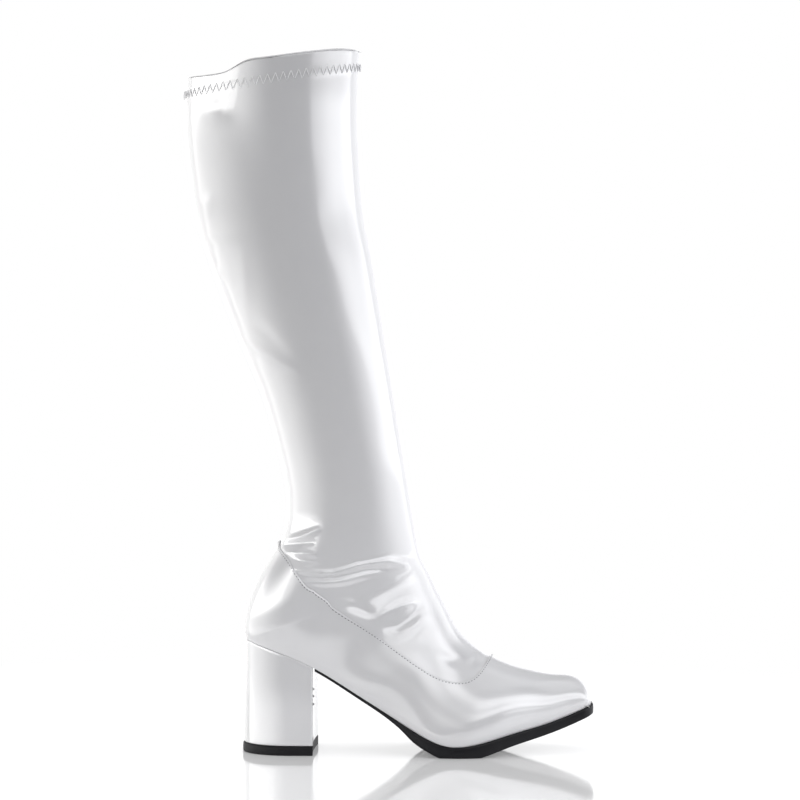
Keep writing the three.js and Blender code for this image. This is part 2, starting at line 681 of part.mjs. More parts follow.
// Outsole thickness: along is a share of the foot length, ball a share of the sole at the ball
const SOLE = [
  { along: 0.20, waist: 1.00, toe: 0.000 },
  { along: 0.34, waist: 1.28, toe: 0.000 },
  { along: 0.43, waist: 1.10, toe: 0.223 },
  { along: 0.455, waist: 0.70, toe: 0.516 },
  { along: 0.48, waist: 0.30, toe: 0.948 },
  { along: 0.51, waist: 0.10, toe: 1.157 },
  { along: 0.56, waist: 0.00, toe: 1.324 },
  { along: 0.70, waist: 0.00, toe: 1.352 },
  { along: 0.76, waist: 0.00, toe: 1.199 },
  { along: 0.85, waist: 0.00, toe: 1.087 },
  { along: 1.00, waist: 0.00, toe: 1.000 },
];
const soleWaist = naturalSpline(SOLE.map((row) => row.along), SOLE.map((row) => row.waist));
const soleToe = naturalSpline(SOLE.map((row) => row.along), SOLE.map((row) => row.toe));

// The sole's underside: flat on the floor at the ball, lifted towards the waist and the toe
function soleBottom(x) {
  const along = alongFoot(x);
  const thickness = waistSole * soleWaist(along) + toeSole * soleToe(along);
  return Math.max(0, featherZ(x) - gap - thickness);
}

// The sole's edge is flush at the waist and stands proud from the ball on
function soleEdge(x) {
  const flushTo = 0.36;
  const proudOver = 0.16;
  return soleMargin * smoothStep((alongFoot(x) - flushTo) / proudOver);
}

function outsole() {
  const places = outlinePlaces(breastX + gap, toeFront);
  const edge = (inset) => (x, side) => featherEdge(x, side, soleEdge(x) - inset);
  const topAtX = (x) => featherZ(x) - gap;
  const thinShare = 0.4;
  const bevelAt = (x) => Math.min(soleBevel, (topAtX(x) - soleBottom(x)) * thinShare);
  return stack('outsole', [
    layer(places, edge(soleBevel), soleBottom),
    layer(places, edge(0), (x) => soleBottom(x) + bevelAt(x)),
    layer(places, edge(0), topAtX),
  ], blackRubber());
}

// Heel outline at a margin round the seat, cut off at the breast with a shallow hollow
function heelEdge(x, side, margin) {
  const point = featherEdge(x, side, margin);
  const hollow = breastHollow * smoothStep(1 - (breastX - x) / breastReach);
  const across = 1 - (point.y / (seatWidth / 2)) ** 2;
  point.x -= hollow * Math.max(0, across);
  return point;
}

function heelPlaces() {
  return outlinePlaces(seatBack + endFlat, breastX);
}

function heelBlock() {
  const foot = liftThickness + gap;
  const waist = 0.3;
  const places = heelPlaces();
  const edge = (margin) => (x, side) => heelEdge(x, side, margin);
  const height = (share) => (x) => mix(foot, featherZ(x) - gap, share);
  return stack('heel_block', [
    layer(places, edge(heelTaper - edgeBevel), () => foot),
    layer(places, edge(heelTaper), () => foot + edgeBevel),
    layer(places, edge(heelTaper * waist), height(0.5)),
    layer(places, edge(0), height(1)),
  ], patent());
}

function topLift() {
  const places = heelPlaces();
  const margin = heelTaper + liftMargin;
  const edge = (inset) => (x, side) => heelEdge(x, side, margin - inset);
  return stack('top_lift', [
    layer(places, edge(edgeBevel), () => 0),
    layer(places, edge(0), () => edgeBevel),
    layer(places, edge(0), () => liftThickness),
  ], blackRubber());
}

const group = new THREE.Group();
group.add(upper(), insole(), outsole(), heelBlock(), topLift());

export default group;
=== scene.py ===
# %% [markdown]
# White go go boot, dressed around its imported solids
# The boot is a knee-high stretch boot of white patent with a stitched foot part, a squared toe and
# a covered block heel. This lesson starts from the frame: the solids of upper, insole, outsole,
# heel and lift, at their real size. Each one gets a finer skin here, made from the same sections,
# so that nothing has to be fitted afterwards.

import math

import bpy
import numpy as np
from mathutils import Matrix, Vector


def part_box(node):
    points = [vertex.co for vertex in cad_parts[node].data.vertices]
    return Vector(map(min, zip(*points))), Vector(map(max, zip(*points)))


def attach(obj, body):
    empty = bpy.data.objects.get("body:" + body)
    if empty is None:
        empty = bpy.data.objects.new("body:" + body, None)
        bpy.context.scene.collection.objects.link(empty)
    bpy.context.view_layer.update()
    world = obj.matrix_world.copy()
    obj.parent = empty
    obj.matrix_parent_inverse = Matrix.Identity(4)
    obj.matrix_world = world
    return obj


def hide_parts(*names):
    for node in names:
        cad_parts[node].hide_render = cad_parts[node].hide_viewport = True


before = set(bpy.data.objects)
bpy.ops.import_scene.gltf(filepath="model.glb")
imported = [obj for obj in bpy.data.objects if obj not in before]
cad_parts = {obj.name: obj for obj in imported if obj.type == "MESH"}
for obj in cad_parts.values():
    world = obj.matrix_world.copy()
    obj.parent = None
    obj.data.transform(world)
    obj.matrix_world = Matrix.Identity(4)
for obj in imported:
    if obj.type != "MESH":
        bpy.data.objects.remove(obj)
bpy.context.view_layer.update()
bpy.ops.object.select_all(action="DESELECT")
print("solids:", sorted(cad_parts))

# %% [markdown]
# Sizes
# All sizes are millimetres, as a shoemaker gives them, and become metres only when a mesh is made.
# They belong to the last, the wooden form that the boot is made on, and are the ones that the solids
# were made with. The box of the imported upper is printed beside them, so that a change would show.

# %% Sizes of the boot
MM = 0.001


def node_mm(node):
    low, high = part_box(node)
    return np.array(low) / MM, np.array(high) / MM


FOOT_LENGTH = 234.5
HEEL_HEIGHT = 76.6
BOOT_HEIGHT = 475.5
COLLAR_DROP = 17.4
COLLAR_SCOOP = 3.6
TOP_DEPTH = 119.3
TOP_WIDTH = 94.0
INSTEP_RISE = 47.4
VAMP_HEIGHT = 56.6
BALL_WIDTH = 84.0
SEAT_WIDTH = 58.0
TOE_SPRING = 24.4
TOE_CORNER = 6.5
BALL_SOLE = 7.6
HEEL_TAPER = 0.7
WALL = 1.8
SEAM_STEP = 0.7
GAP = 0.3
HEEL_LENGTH = 48.4
LIFT_THICKNESS = 6.3

SEAT_BACK = -HEEL_LENGTH / 2 + HEEL_TAPER
TOE_FRONT = SEAT_BACK + FOOT_LENGTH
BREAST_X = HEEL_LENGTH / 2
BACK_HEIGHT = BOOT_HEIGHT - COLLAR_DROP
INSTEP_HEIGHT = HEEL_HEIGHT + INSTEP_RISE
upper_low, upper_high = node_mm("upper")
print("upper solid, mm:", upper_low.round(1), upper_high.round(1))

# %% [markdown]
# Curves
# A last is a smooth body, so every size along it runs on a natural spline through a few rows of a
# table. Numpy evaluates a whole grid of points at once, which Python loops would do far slower.


# %% Spline and blends
def natural_spline(knots, values):
    knots = np.array(knots, float)
    values = np.array(values, float)
    width = np.diff(knots)
    slope = np.diff(values) / width
    system = np.diag(2 * (width[:-1] + width[1:]))
    system += np.diag(width[1:-1], 1) + np.diag(width[1:-1], -1)
    bend = np.zeros(len(knots))
    bend[1:-1] = np.linalg.solve(system, 6 * np.diff(slope))

    def at(place):
        place = np.asarray(place, float)
        i = np.clip(np.searchsorted(knots, place, side="right") - 1, 0, len(width) - 1)
        right = (place - knots[i]) / width[i]
        left = 1 - right
        curve = (left ** 3 - left) * bend[i] + (right ** 3 - right) * bend[i + 1]
        return left * values[i] + right * values[i + 1] + curve * width[i] ** 2 / 6

    return at


def smooth_step(value):
    share = np.clip(value, 0, 1)
    return share * share * (3 - 2 * share)


def mix(start, end, share):
    return start + (end - start) * share


def column_curves(rows, names):
    table = np.array(rows, float)
    return {name: natural_spline(table[:, 0], table[:, i + 1]) for i, name in enumerate(names)}


# %% [markdown]
# The feather edge
# The feather edge is the line on which upper and sole meet. Seen from the side it drops from the
# high seat to the ball and springs up to the toe. Seen from below it is the outline of the foot,
# with a straighter inner side and a squared toe.

# %% Feather edge
# share of the foot length, then pitch, spring, outer half-width, inner half-width
FEATHER = column_curves([
    (0.00, 1.000, 0.000, 0.490, 0.490),
    (0.08, 0.913, 0.000, 0.492, 0.492),
    (0.20, 0.741, 0.000, 0.500, 0.490),
    (0.33, 0.475, 0.000, 0.442, 0.392),
    (0.42, 0.283, 0.000, 0.412, 0.352),
    (0.51, 0.094, 0.000, 0.464, 0.414),
    (0.58, 0.004, 0.000, 0.504, 0.476),
    (0.63, 0.000, 0.003, 0.510, 0.490),
    (0.68, 0.000, 0.085, 0.486, 0.486),
    (0.76, 0.000, 0.283, 0.405, 0.448),
    (0.85, 0.000, 0.496, 0.305, 0.378),
    (0.93, 0.000, 0.734, 0.218, 0.322),
    (1.00, 0.000, 1.000, 0.158, 0.276),
], ("pitch", "spring", "outer", "inner"))
SEAT_ROUND = 0.125
WAIST_START = 0.2
WAIST_LENGTH = 0.26


def along_foot(x):
    return (x - SEAT_BACK) / FOOT_LENGTH


def feather_z(x):
    along = along_foot(x)
    drop = (HEEL_HEIGHT - BALL_SOLE) * FEATHER["pitch"](along)
    return BALL_SOLE + drop + TOE_SPRING * FEATHER["spring"](along)


def local_width(x):
    return mix(SEAT_WIDTH, BALL_WIDTH, smooth_step((along_foot(x) - WAIST_START) / WAIST_LENGTH))


def corner_cut(x):
    reach = np.clip(x - (TOE_FRONT - TOE_CORNER), 0, TOE_CORNER)
    return TOE_CORNER - np.sqrt(np.maximum(0, TOE_CORNER ** 2 - reach ** 2))


def feather_half(x, side):
    along = along_foot(x)
    share = np.where(side < 0, FEATHER["outer"](along), FEATHER["inner"](along))
    curl = np.maximum(0, 1 - along / SEAT_ROUND)
    return share * local_width(x) * np.sqrt(np.maximum(0, 1 - curl ** 2)) - corner_cut(x)


travel_turn = np.linspace(0, math.pi, 601)
TRAVEL_X = SEAT_BACK + FOOT_LENGTH * (0.5 - 0.5 * np.cos(travel_turn))
TRAVEL = np.concatenate([[0], np.cumsum(np.hypot(np.diff(TRAVEL_X), np.diff(feather_half(TRAVEL_X, -1))))])
FOOT_TRAVEL = TRAVEL[-1]
print("feather edge, outer side, mm:", round(FOOT_TRAVEL, 1))


def feather_x_at(travel):
    return np.interp(travel, TRAVEL, TRAVEL_X)


# %% [markdown]
# Sections of the last
# The last is cut like a loaf. Down the shaft each slice is a tilted oval from the back of the leg
# to its front, over the foot each one stands on the feather edge and leans back to the ridge of
# the instep. Two short tables hold them, as shares of the sizes above.

# %% Tables of sections
# back x, back height, front x, front height, half-width, widest place, fullness of the back
SHAFT = np.array([
    (-0.339, 1.000, 0.661, 1.000, 0.500, 0.50, 2.0),
    (-0.346, 0.914, 0.648, 0.900, 0.500, 0.50, 2.0),
    (-0.319, 0.824, 0.655, 0.806, 0.496, 0.50, 2.0),
    (-0.274, 0.740, 0.680, 0.690, 0.484, 0.49, 2.0),
    (-0.203, 0.669, 0.716, 0.623, 0.466, 0.49, 2.0),
    (-0.111, 0.591, 0.760, 0.533, 0.442, 0.48, 2.0),
    (-0.005, 0.510, 0.802, 0.444, 0.416, 0.47, 2.0),
    (0.095, 0.434, 0.841, 0.360, 0.388, 0.46, 2.0),
    (0.197, 0.323, 0.893, 0.245, 0.362, 0.45, 2.0),
    (0.237, 0.258, 0.925, 0.180, 0.354, 0.44, 2.0),
    (0.233, 0.205, 0.946, 0.132, 0.350, 0.43, 2.1),
    (0.197, 0.171, 0.958, 0.104, 0.348, 0.42, 2.2),
    (0.114, 0.129, 0.973, 0.070, 0.346, 0.41, 2.3),
    (0.026, 0.069, 0.993, 0.032, 0.345, 0.39, 2.6),
    (-0.006, 0.022, 1.017, 0.010, 0.345, 0.37, 2.7),
    (0.000, 0.000, 1.033, 0.000, 0.343, 0.36, 2.7),
])
# share of the foot length, ridge x, ridge height, outer, inner, shift, widest place, back, top
FOOT = np.array([
    (0.134, 0.553, 0.798, 0.552, 0.552, 0.000, 0.34, 2.4, 2.0),
    (0.228, 0.574, 0.830, 0.540, 0.540, 0.000, 0.34, 2.1, 2.0),
    (0.335, 0.603, 0.883, 0.488, 0.480, 0.000, 0.32, 2.0, 1.95),
    (0.420, 0.633, 0.919, 0.448, 0.424, 0.000, 0.29, 2.0, 1.9),
    (0.505, 0.672, 0.981, 0.474, 0.440, 0.000, 0.25, 2.0, 1.85),
    (0.578, 0.710, 0.998, 0.512, 0.488, 0.002, 0.20, 2.0, 1.85),
    (0.633, 0.744, 0.934, 0.520, 0.502, 0.005, 0.18, 2.0, 1.85),
    (0.697, 0.787, 0.816, 0.482, 0.494, 0.012, 0.18, 2.0, 1.9),
    (0.761, 0.829, 0.701, 0.412, 0.456, 0.022, 0.19, 2.0, 1.95),
    (0.825, 0.872, 0.595, 0.337, 0.407, 0.034, 0.21, 2.0, 2.0),
    (0.889, 0.914, 0.504, 0.268, 0.358, 0.045, 0.24, 2.0, 2.1),
    (0.940, 0.953, 0.408, 0.214, 0.322, 0.053, 0.27, 2.0, 2.2),
    (0.972, 0.979, 0.290, 0.184, 0.298, 0.057, 0.30, 2.0, 2.3),
    (0.990, 0.992, 0.172, 0.168, 0.286, 0.059, 0.34, 2.0, 2.3),
    (1.000, 1.000, 0.000, 0.160, 0.278, 0.060, 0.40, 2.0, 2.3),
])


def shaft_stations():
    back_x = SEAT_BACK + SHAFT[:, 0] * TOP_DEPTH
    back_z = HEEL_HEIGHT + SHAFT[:, 1] * (BACK_HEIGHT - HEEL_HEIGHT)
    travel = np.concatenate([[0], np.cumsum(np.hypot(np.diff(back_x), np.diff(back_z)))])
    front_x = SEAT_BACK + SHAFT[:, 2] * TOP_DEPTH
    front_z = INSTEP_HEIGHT + SHAFT[:, 3] * (BOOT_HEIGHT - INSTEP_HEIGHT)
    half = SHAFT[:, 4] * TOP_WIDTH
    level = np.zeros(len(SHAFT))
    return travel, back_x, back_z, [front_x, front_z, half, half, level, SHAFT[:, 5], SHAFT[:, 6], level + 2]


def foot_stations(shaft_travel):
    x = SEAT_BACK + FOOT[:, 0] * FOOT_LENGTH
    travel = shaft_travel + np.interp(x, TRAVEL_X, TRAVEL)
    front_x = SEAT_BACK + FOOT[:, 1] * FOOT_LENGTH
    front_z = feather_z(x) + FOOT[:, 2] * VAMP_HEIGHT
    outer = FOOT[:, 3] * local_width(x)
    inner = FOOT[:, 4] * local_width(x)
    shift = FOOT[:, 5] * BALL_WIDTH
    return travel, [front_x, front_z, outer, inner, shift, FOOT[:, 6], FOOT[:, 7], FOOT[:, 8]]


shaft_at, back_x, back_z, shaft_columns = shaft_stations()
SHAFT_TRAVEL = shaft_at[-1]
foot_at, foot_columns = foot_stations(SHAFT_TRAVEL)
station_at = np.concatenate([shaft_at, foot_at])
BACK_X_AT = natural_spline(shaft_at, back_x)
BACK_Z_AT = natural_spline(shaft_at, back_z)
STATION = {
    name: natural_spline(station_at, np.concatenate([a, b]))
    for name, a, b in zip(
        ("front_x", "front_z", "outer", "inner", "shift", "wide", "back", "top"), shaft_columns, foot_columns
    )
}
print("back of the leg, mm:", round(SHAFT_TRAVEL, 1), "sections:", len(station_at))


# %% [markdown]
# A point of the last
# Three numbers find any point: how far down the last its slice lies (0 collar, 1 seat edge,
# 2 toe), its lean round the slice (-1 back, 0 widest, 1 ridge) and its side (-1 outer, 1 inner).

# %% Points of the last
def section_line(down):
    travel = np.where(down < 1, down * SHAFT_TRAVEL, SHAFT_TRAVEL + (down - 1) * FOOT_TRAVEL)
    foot_x = feather_x_at(travel - SHAFT_TRAVEL)
    base_x = np.where(down > 1, foot_x, BACK_X_AT(travel))
    base_z = np.where(down > 1, feather_z(foot_x), BACK_Z_AT(travel))
    return travel, base_x, base_z, STATION["front_x"](travel), STATION["front_z"](travel)


def half_section(down, side):
    travel, base_x, base_z, front_x, front_z = section_line(down)
    shift = STATION["shift"](travel)
    reach = np.where(side < 0, STATION["outer"](travel) + shift, STATION["inner"](travel) - shift)
    half = reach - np.where(down > 1, corner_cut(base_x), 0)
    foot = np.where(down > 1, feather_half(base_x, side) - side * shift, 0)
    return {
        "base_x": base_x, "base_z": base_z, "front_x": front_x, "front_z": front_z,
        "side": side, "shift": shift, "half": half,
        "wide": STATION["wide"](travel), "back": STATION["back"](travel), "top": STATION["top"](travel),
        "start": -np.arccos(np.clip(foot / half, 0, 0.998)),
    }


def climb_at(half, angle):
    turn = np.abs(np.sin(angle))
    low = half["wide"] * (1 - np.clip(turn / np.sin(-half["start"]), 0, 1) ** (2 / half["back"]))
    high = half["wide"] + (1 - half["wide"]) * turn ** (2 / half["top"])
    return np.where(angle < 0, low, high)


def angle_at(half, climb):
    share = np.clip(climb, 0, 1)
    below = np.clip(1 - share / half["wide"], 0, 1) ** (half["back"] / 2)
    above = np.clip((share - half["wide"]) / (1 - half["wide"]), 0, 1) ** (half["top"] / 2)
    return np.where(share < half["wide"], -np.arcsin(np.sin(-half["start"]) * below), np.arcsin(above))


def point_at(half, climb, angle):
    x = mix(half["base_x"], half["front_x"], climb)
    y = half["shift"] + half["side"] * half["half"] * np.cos(angle)
    z = mix(half["base_z"], half["front_z"], climb)
    return np.stack([x, y, z], axis=-1)


def last_point(down, lean, side):
    half = half_section(down, side)
    angle = np.maximum(half["start"], lean * math.pi / 2)
    return point_at(half, climb_at(half, angle), angle)


ANKLE_DOWN = 0.77
BALL_DOWN = 1.75
HALVINGS = 26


def side_point(x, z, side):
    above = np.full(x.shape, ANKLE_DOWN / 2)
    below = np.full(x.shape, BALL_DOWN)
    for _ in range(HALVINGS):
        middle = (above + below) / 2
        _, base_x, base_z, front_x, front_z = section_line(middle)
        over = (front_x - base_x) * (z - base_z) - (front_z - base_z) * (x - base_x)
        above = np.where(over < 0, middle, above)
        below = np.where(over < 0, below, middle)
    half = half_section(above, side)
    run_x = half["front_x"] - half["base_x"]
    run_z = half["front_z"] - half["base_z"]
    climb = ((x - half["base_x"]) * run_x + (z - half["base_z"]) * run_z) / (run_x ** 2 + run_z ** 2)
    return point_at(half, climb, angle_at(half, climb))


# %% [markdown]
# The seam between shaft and foot part
# The foot part of this boot is sewn over the shaft. Its edge climbs from a low throat on the vamp
# to a high point behind the ankle. The table lists the seam from back to front, and both panels
# are laid out from it, so that they can't drift apart.

# %% Seam and panels
SEAM_ROWS = [
    (0.000, 0.820, -1.00), (0.060, 0.833, -0.75), (0.150, 0.869, -0.36), (0.240, 0.934, -0.04),
    (0.290, 0.966, 0.06), (0.345, 1.010, 0.13), (0.400, 1.113, 0.14), (0.455, 1.197, 0.13),
    (0.560, 1.305, 0.15), (0.665, 1.405, 0.21), (0.770, 1.499, 0.32), (0.830, 1.550, 0.45),
    (0.900, 1.573, 0.66), (1.000, 1.582, 1.00),
]
SEAM = column_curves(SEAM_ROWS, ("down", "lean"))
SEAT_END = 0.10
CORNER_START = 0.955
SEAT_SHARE = 4 / 28
CORNER_SHARE = 3 / 28
FRONT_SHARE = 3 / 28

ridge_down = np.linspace(ANKLE_DOWN, float(SEAM["down"](1)), 201)
_, _, _, ridge_x, ridge_z = section_line(ridge_down)
RIDGE = np.concatenate([[0], np.cumsum(np.hypot(np.diff(ridge_x), np.diff(ridge_z)))])


def feather_down(over):
    corner = 1 - FRONT_SHARE
    seat = 1 + SEAT_END * (np.clip(over / SEAT_SHARE, 0, 1)) ** 1.4
    side_share = (over - SEAT_SHARE) / (corner - SEAT_SHARE - CORNER_SHARE)
    side = 1 + mix(SEAT_END, CORNER_START, side_share)
    toe = np.minimum(2, 2 - (1 - CORNER_START) * (corner - over) / CORNER_SHARE)
    return np.where(over <= SEAT_SHARE, seat, np.where(over <= corner - CORNER_SHARE, side, toe))


def leg_point(over, deep, side):
    scoop = COLLAR_SCOOP * np.sin(math.pi * over) * (1 - deep) / SHAFT_TRAVEL
    return last_point(deep * ANKLE_DOWN + scoop, 2 * over - 1, side)


def ankle_point(over, deep, side):
    back = last_point(mix(ANKLE_DOWN, SEAM["down"](0), deep), -np.ones_like(over), side)
    front_down = np.interp(deep * RIDGE[-1], RIDGE, ridge_down)
    front = last_point(front_down, np.ones_like(over), side)
    start_section = half_section(np.full_like(over, ANKLE_DOWN), side)
    share = climb_at(start_section, (2 * over - 1) * math.pi / 2)[..., None]
    seam = last_point(SEAM["down"](over), SEAM["lean"](over), side)
    seam_back = last_point(SEAM["down"](0) + 0 * over, -np.ones_like(over), side)
    throat = last_point(SEAM["down"](1) + 0 * over, np.ones_like(over), side)
    place = mix(back, front, share) + (seam - mix(seam_back, throat, share)) * deep[..., None]
    inside = side_point(place[..., 0], place[..., 2], side)
    inside = np.where((over <= 1e-9)[..., None], back, inside)
    return np.where((over >= 1 - 1e-9)[..., None], front, inside)


def foot_point(over, deep, side):
    edge_down = feather_down(over)
    across = np.clip((over - 1 + FRONT_SHARE) / FRONT_SHARE, 0, 1)
    foot_lean = half_section(edge_down, side)["start"] / (math.pi / 2)
    edge_lean = mix(foot_lean, 1, across)
    return last_point(
        mix(SEAM["down"](over), edge_down, deep), mix(SEAM["lean"](over), edge_lean, deep), side
    )


# %% [markdown]
# The fine net of the upper
# The solids use 56 columns, which shows as flats under gloss. Here the same sections give a net of
# 264 columns, closed round the leg. Rows run from the collar through shaft and ankle to the seam
# and on to the feather edge. The normals of the net are needed too, for folds and for the wall.

# %% Fine net
# x and rise of the rim above the cut of the solid: the hem rolls up in the middle, sags behind
RIM_REACH = 8.0
RIM_RISE = natural_spline(
    [-66, -54, -42.6, -33, -26, -18.9, -11, 8.8, 31.3, 45, 56],
    [-0.6, -2.4, -3.2, -2.4, 0.6, 2.8, 2.9, 2.6, 2.3, 1.5, -0.6],
)
HALF_COLUMNS = 132
HEM_ROWS = 22
LEG_ROWS = 158
ANKLE_ROWS = 78
FOOT_ROWS = 96

over_half = np.linspace(0, 1, HALF_COLUMNS + 1)
ring_over = np.concatenate([over_half, over_half[-2:0:-1]])
ring_side = np.concatenate([-np.ones(HALF_COLUMNS + 1), np.ones(HALF_COLUMNS - 1)])
RING = len(ring_over)


def net_rows(place, deep_values):
    return np.array([place(ring_over, np.full(RING, deep), ring_side) for deep in deep_values])


HEM_REACH = 18.0
HEM_SHARE = HEM_REACH / (ANKLE_DOWN * SHAFT_TRAVEL)
leg_deep = np.concatenate([
    np.linspace(0, HEM_SHARE, HEM_ROWS + 1), np.linspace(HEM_SHARE, 1, LEG_ROWS - HEM_ROWS + 1)[1:],
])
leg_rows = net_rows(leg_point, leg_deep)
cut_steps = np.linalg.norm(np.diff(leg_rows[:HEM_ROWS + 10], axis=0), axis=-1)
BELOW_CUT = np.concatenate([np.zeros((1, RING)), np.cumsum(cut_steps, axis=0)])
rim_fade = 1 - smooth_step(leg_deep * ANKLE_DOWN * SHAFT_TRAVEL / RIM_REACH)
leg_rows[..., 2] += RIM_RISE(leg_rows[..., 0]) * rim_fade[:, None]
ankle_rows = net_rows(ankle_point, np.linspace(0, 1, ANKLE_ROWS + 1)[1:])
foot_rows = net_rows(foot_point, np.linspace(0, 1, FOOT_ROWS + 1)[1:])
BACK_COLUMNS = 9


def round_off_back(rows):
    """Lays the columns next to the back line evenly on a small round, on both sides."""
    for way in (1, -1):
        back = rows[:, 0]
        far = rows[:, way * BACK_COLUMNS % RING]
        for step in range(1, BACK_COLUMNS):
            share = step / BACK_COLUMNS
            column = way * step % RING
            rows[:, column, 0] = mix(back[:, 0], far[:, 0], share ** 2)
            rows[:, column, 1] = far[:, 1] * share
            rows[:, column, 2] = mix(back[:, 2], far[:, 2], share)


round_off_back(ankle_rows)
NET = np.concatenate([leg_rows, ankle_rows, foot_rows])
SEAM_ROW = LEG_ROWS + ANKLE_ROWS
LAST_ROW = len(NET) - 1


def net_normals(net):
    down = np.gradient(net, axis=0)
    around = np.roll(net, -1, axis=1) - np.roll(net, 1, axis=1)
    normal = np.cross(down, around)
    return normal / np.maximum(1e-9, np.linalg.norm(normal, axis=-1, keepdims=True))


NET_NORMAL = net_normals(NET)
print("net:", NET.shape, "outward at the front:", NET_NORMAL[60, HALF_COLUMNS].round(2))

# %% [markdown]
# Folds
# Stretch patent stands up by itself, but it gathers where the leg is slim and where the foot bends.
# Each fold is drawn in the side view, as a line of x and z in millimetres with a height (minus for
# a trough), a width, and how softly its ends run out. The height of every point of the net is the
# sum of all the folds near it. All of them lie on the outer side, and the inner side is smooth.

# %% Folds
def close_ring(points):
    return np.concatenate([points, points[:, :1]], axis=1)


# height, width, taper at the ends, line in the side view
FOLDS = [
    # calf: hollows and pinches, which turn the patent down to the dark and up to the lamp
    (0.75, 7.5, 0.5, [(-47.1, 431.5), (-36.4, 430.1)]),
    (1.1, 9.0, 0.5, [(-51, 367.1), (-42.4, 365.8)]),
    (0.8, 3.2, 0.6, [(-51, 346.6), (-40.4, 343.9), (-27.2, 345.9)]),
    (0.4, 4.0, 0.9, [(-23.2, 338.6), (-22.5, 314.1), (-20.5, 290.9)]),
    (0.6, 2.0, 0.8, [(-43.1, 328), (-37.1, 317.4)]),
    # below the calf: a long pull towards the shin
    (-0.8, 4.6, 0.9, [(-20.5, 290.9), (-12.6, 285.5), (-4.6, 278.3), (4.7, 270.3)]),
    (1.0, 3.2, 0.7, [(-24.5, 278.9), (-16.6, 273.6), (-6.6, 267.6), (3.3, 262.3), (12.6, 258.4)]),
    # back of the ankle
    (1.1, 1.8, 0.5, [(2.7, 140.3), (7.3, 144.3), (15.3, 146.3), (21.2, 148.9), (27.2, 151.6)]),
    (-0.8, 1.8, 0.6, [(4.7, 140.3), (12.6, 141.6), (23.2, 143)]),
    (0.6, 1.5, 0.6, [(4.7, 136.3), (14, 135.7), (24.6, 135)]),
    (-0.5, 2.0, 0.8, [(7.3, 131), (17.9, 130.4), (29.9, 130.4)]),
    # long crease over the ankle
    (1.3, 1.7, 0.5, [
        (12, 124.4), (19.3, 123.1), (28.5, 122.4), (37.2, 122.4), (45.1, 124.4),
        (53.7, 127), (63, 128.4), (73.6, 129.7), (84.3, 127.7),
    ]),
    (0.9, 3.6, 0.8, [(67, 127.7), (76.3, 129), (86.9, 126.4)]),
    (-1.2, 1.6, 0.5, [
        (15.3, 120.4), (27.2, 119.4), (37.8, 119.4), (48.4, 121.7),
        (59.1, 124.4), (71, 125.1),
    ]),
    (0.6, 2.2, 0.6, [(19.3, 116.4), (29.9, 115.8), (41.8, 116.4), (53.7, 119.1), (65.7, 121.7)]),
    # instep: soft gathers above the seam
    (-0.7, 3.6, 0.8, [(45.1, 102.5), (53.7, 99.2), (64.4, 93.9)]),
    (0.9, 2.6, 0.7, [(65.7, 91.2), (73.6, 96.5), (81.6, 99.9), (89.6, 102.5)]),
    (-1.0, 2.8, 0.7, [(72.3, 85.9), (80.3, 86.6), (88.2, 91.9), (94.2, 97.9)]),
    (0.7, 3.2, 0.7, [(80.3, 80.6), (89.6, 84.6), (98.8, 91.9)]),
    (-0.5, 3.2, 0.8, [(108.1, 68), (114.8, 64), (121.4, 62.7)]),
    (0.7, 2.4, 0.8, [(128, 60.1), (132, 62.7), (136, 65.4)]),
]


def line_distance(x, z, line):
    """Distance of each point from a side-view line, and how far along it the nearest place lies."""
    line = np.array(line, float)
    steps = np.hypot(*np.diff(line, axis=0).T)
    reached = np.concatenate([[0], np.cumsum(steps)])
    best = np.full(x.shape, 1e9)
    share = np.zeros(x.shape)
    for i, step in enumerate(steps):
        run = line[i + 1] - line[i]
        t = np.clip(((x - line[i, 0]) * run[0] + (z - line[i, 1]) * run[1]) / step ** 2, 0, 1)
        far = np.hypot(x - line[i, 0] - t * run[0], z - line[i, 1] - t * run[1])
        share = np.where(far < best, (reached[i] + t * step) / reached[-1], share)
        best = np.minimum(best, far)
    return best, share


FOLD_END = 0.08
FADE_COLUMNS = 6


def fold_height(net):
    height = np.zeros(net.shape[:2])
    column = np.arange(RING) % HALF_COLUMNS
    edge_fade = smooth_step(np.minimum(column, HALF_COLUMNS - column) / FADE_COLUMNS)
    for lift, width, taper, line in FOLDS:
        far, share = line_distance(net[..., 0], net[..., 2], line)
        ends = np.sin(math.pi * (FOLD_END + (1 - 2 * FOLD_END) * share)) ** taper
        height += np.where(ring_side < 0, lift * ends * np.exp(-(far / width) ** 2), 0)
    return height * edge_fade


BACK_SEAM_HEIGHT = 0.55
BACK_SEAM_REACH = 2.3
BACK_SEAM_FADE = 8


def back_seam_height(net):
    """A raised strip down the back of the shaft, where its two halves are joined."""
    along = np.linalg.norm(np.diff(close_ring(net), axis=1), axis=-1)
    reached = np.concatenate([np.zeros((len(net), 1)), np.cumsum(along, axis=1)], axis=1)
    from_back = np.minimum(reached[:, :-1], reached[:, -1:] - reached[:, :-1])
    lift = BACK_SEAM_HEIGHT * np.exp(-(from_back / BACK_SEAM_REACH) ** 4)
    below_rim = smooth_step(np.arange(len(net)) / HEM_ROWS)
    above_seam = 1 - smooth_step((np.arange(len(net)) - SEAM_ROW) / BACK_SEAM_FADE + 1)
    return lift * (below_rim * above_seam)[:, None]


FOLD_LIFT = fold_height(NET)
FOLDED = NET + NET_NORMAL * (FOLD_LIFT + back_seam_height(NET))[..., None]
FOLDED_NORMAL = net_normals(FOLDED)
print("deepest and highest fold, mm:", FOLD_LIFT.min().round(2), FOLD_LIFT.max().round(2))

# %% [markdown]
# From net to mesh
# A sheet of patent is best started as a grid primitive, which already has clean quads and a UV map.
# Its vertices are then laid on the net. Where the sheet closes on itself, its edges lie on each
# other and merge by distance, and the normals are recalculated.


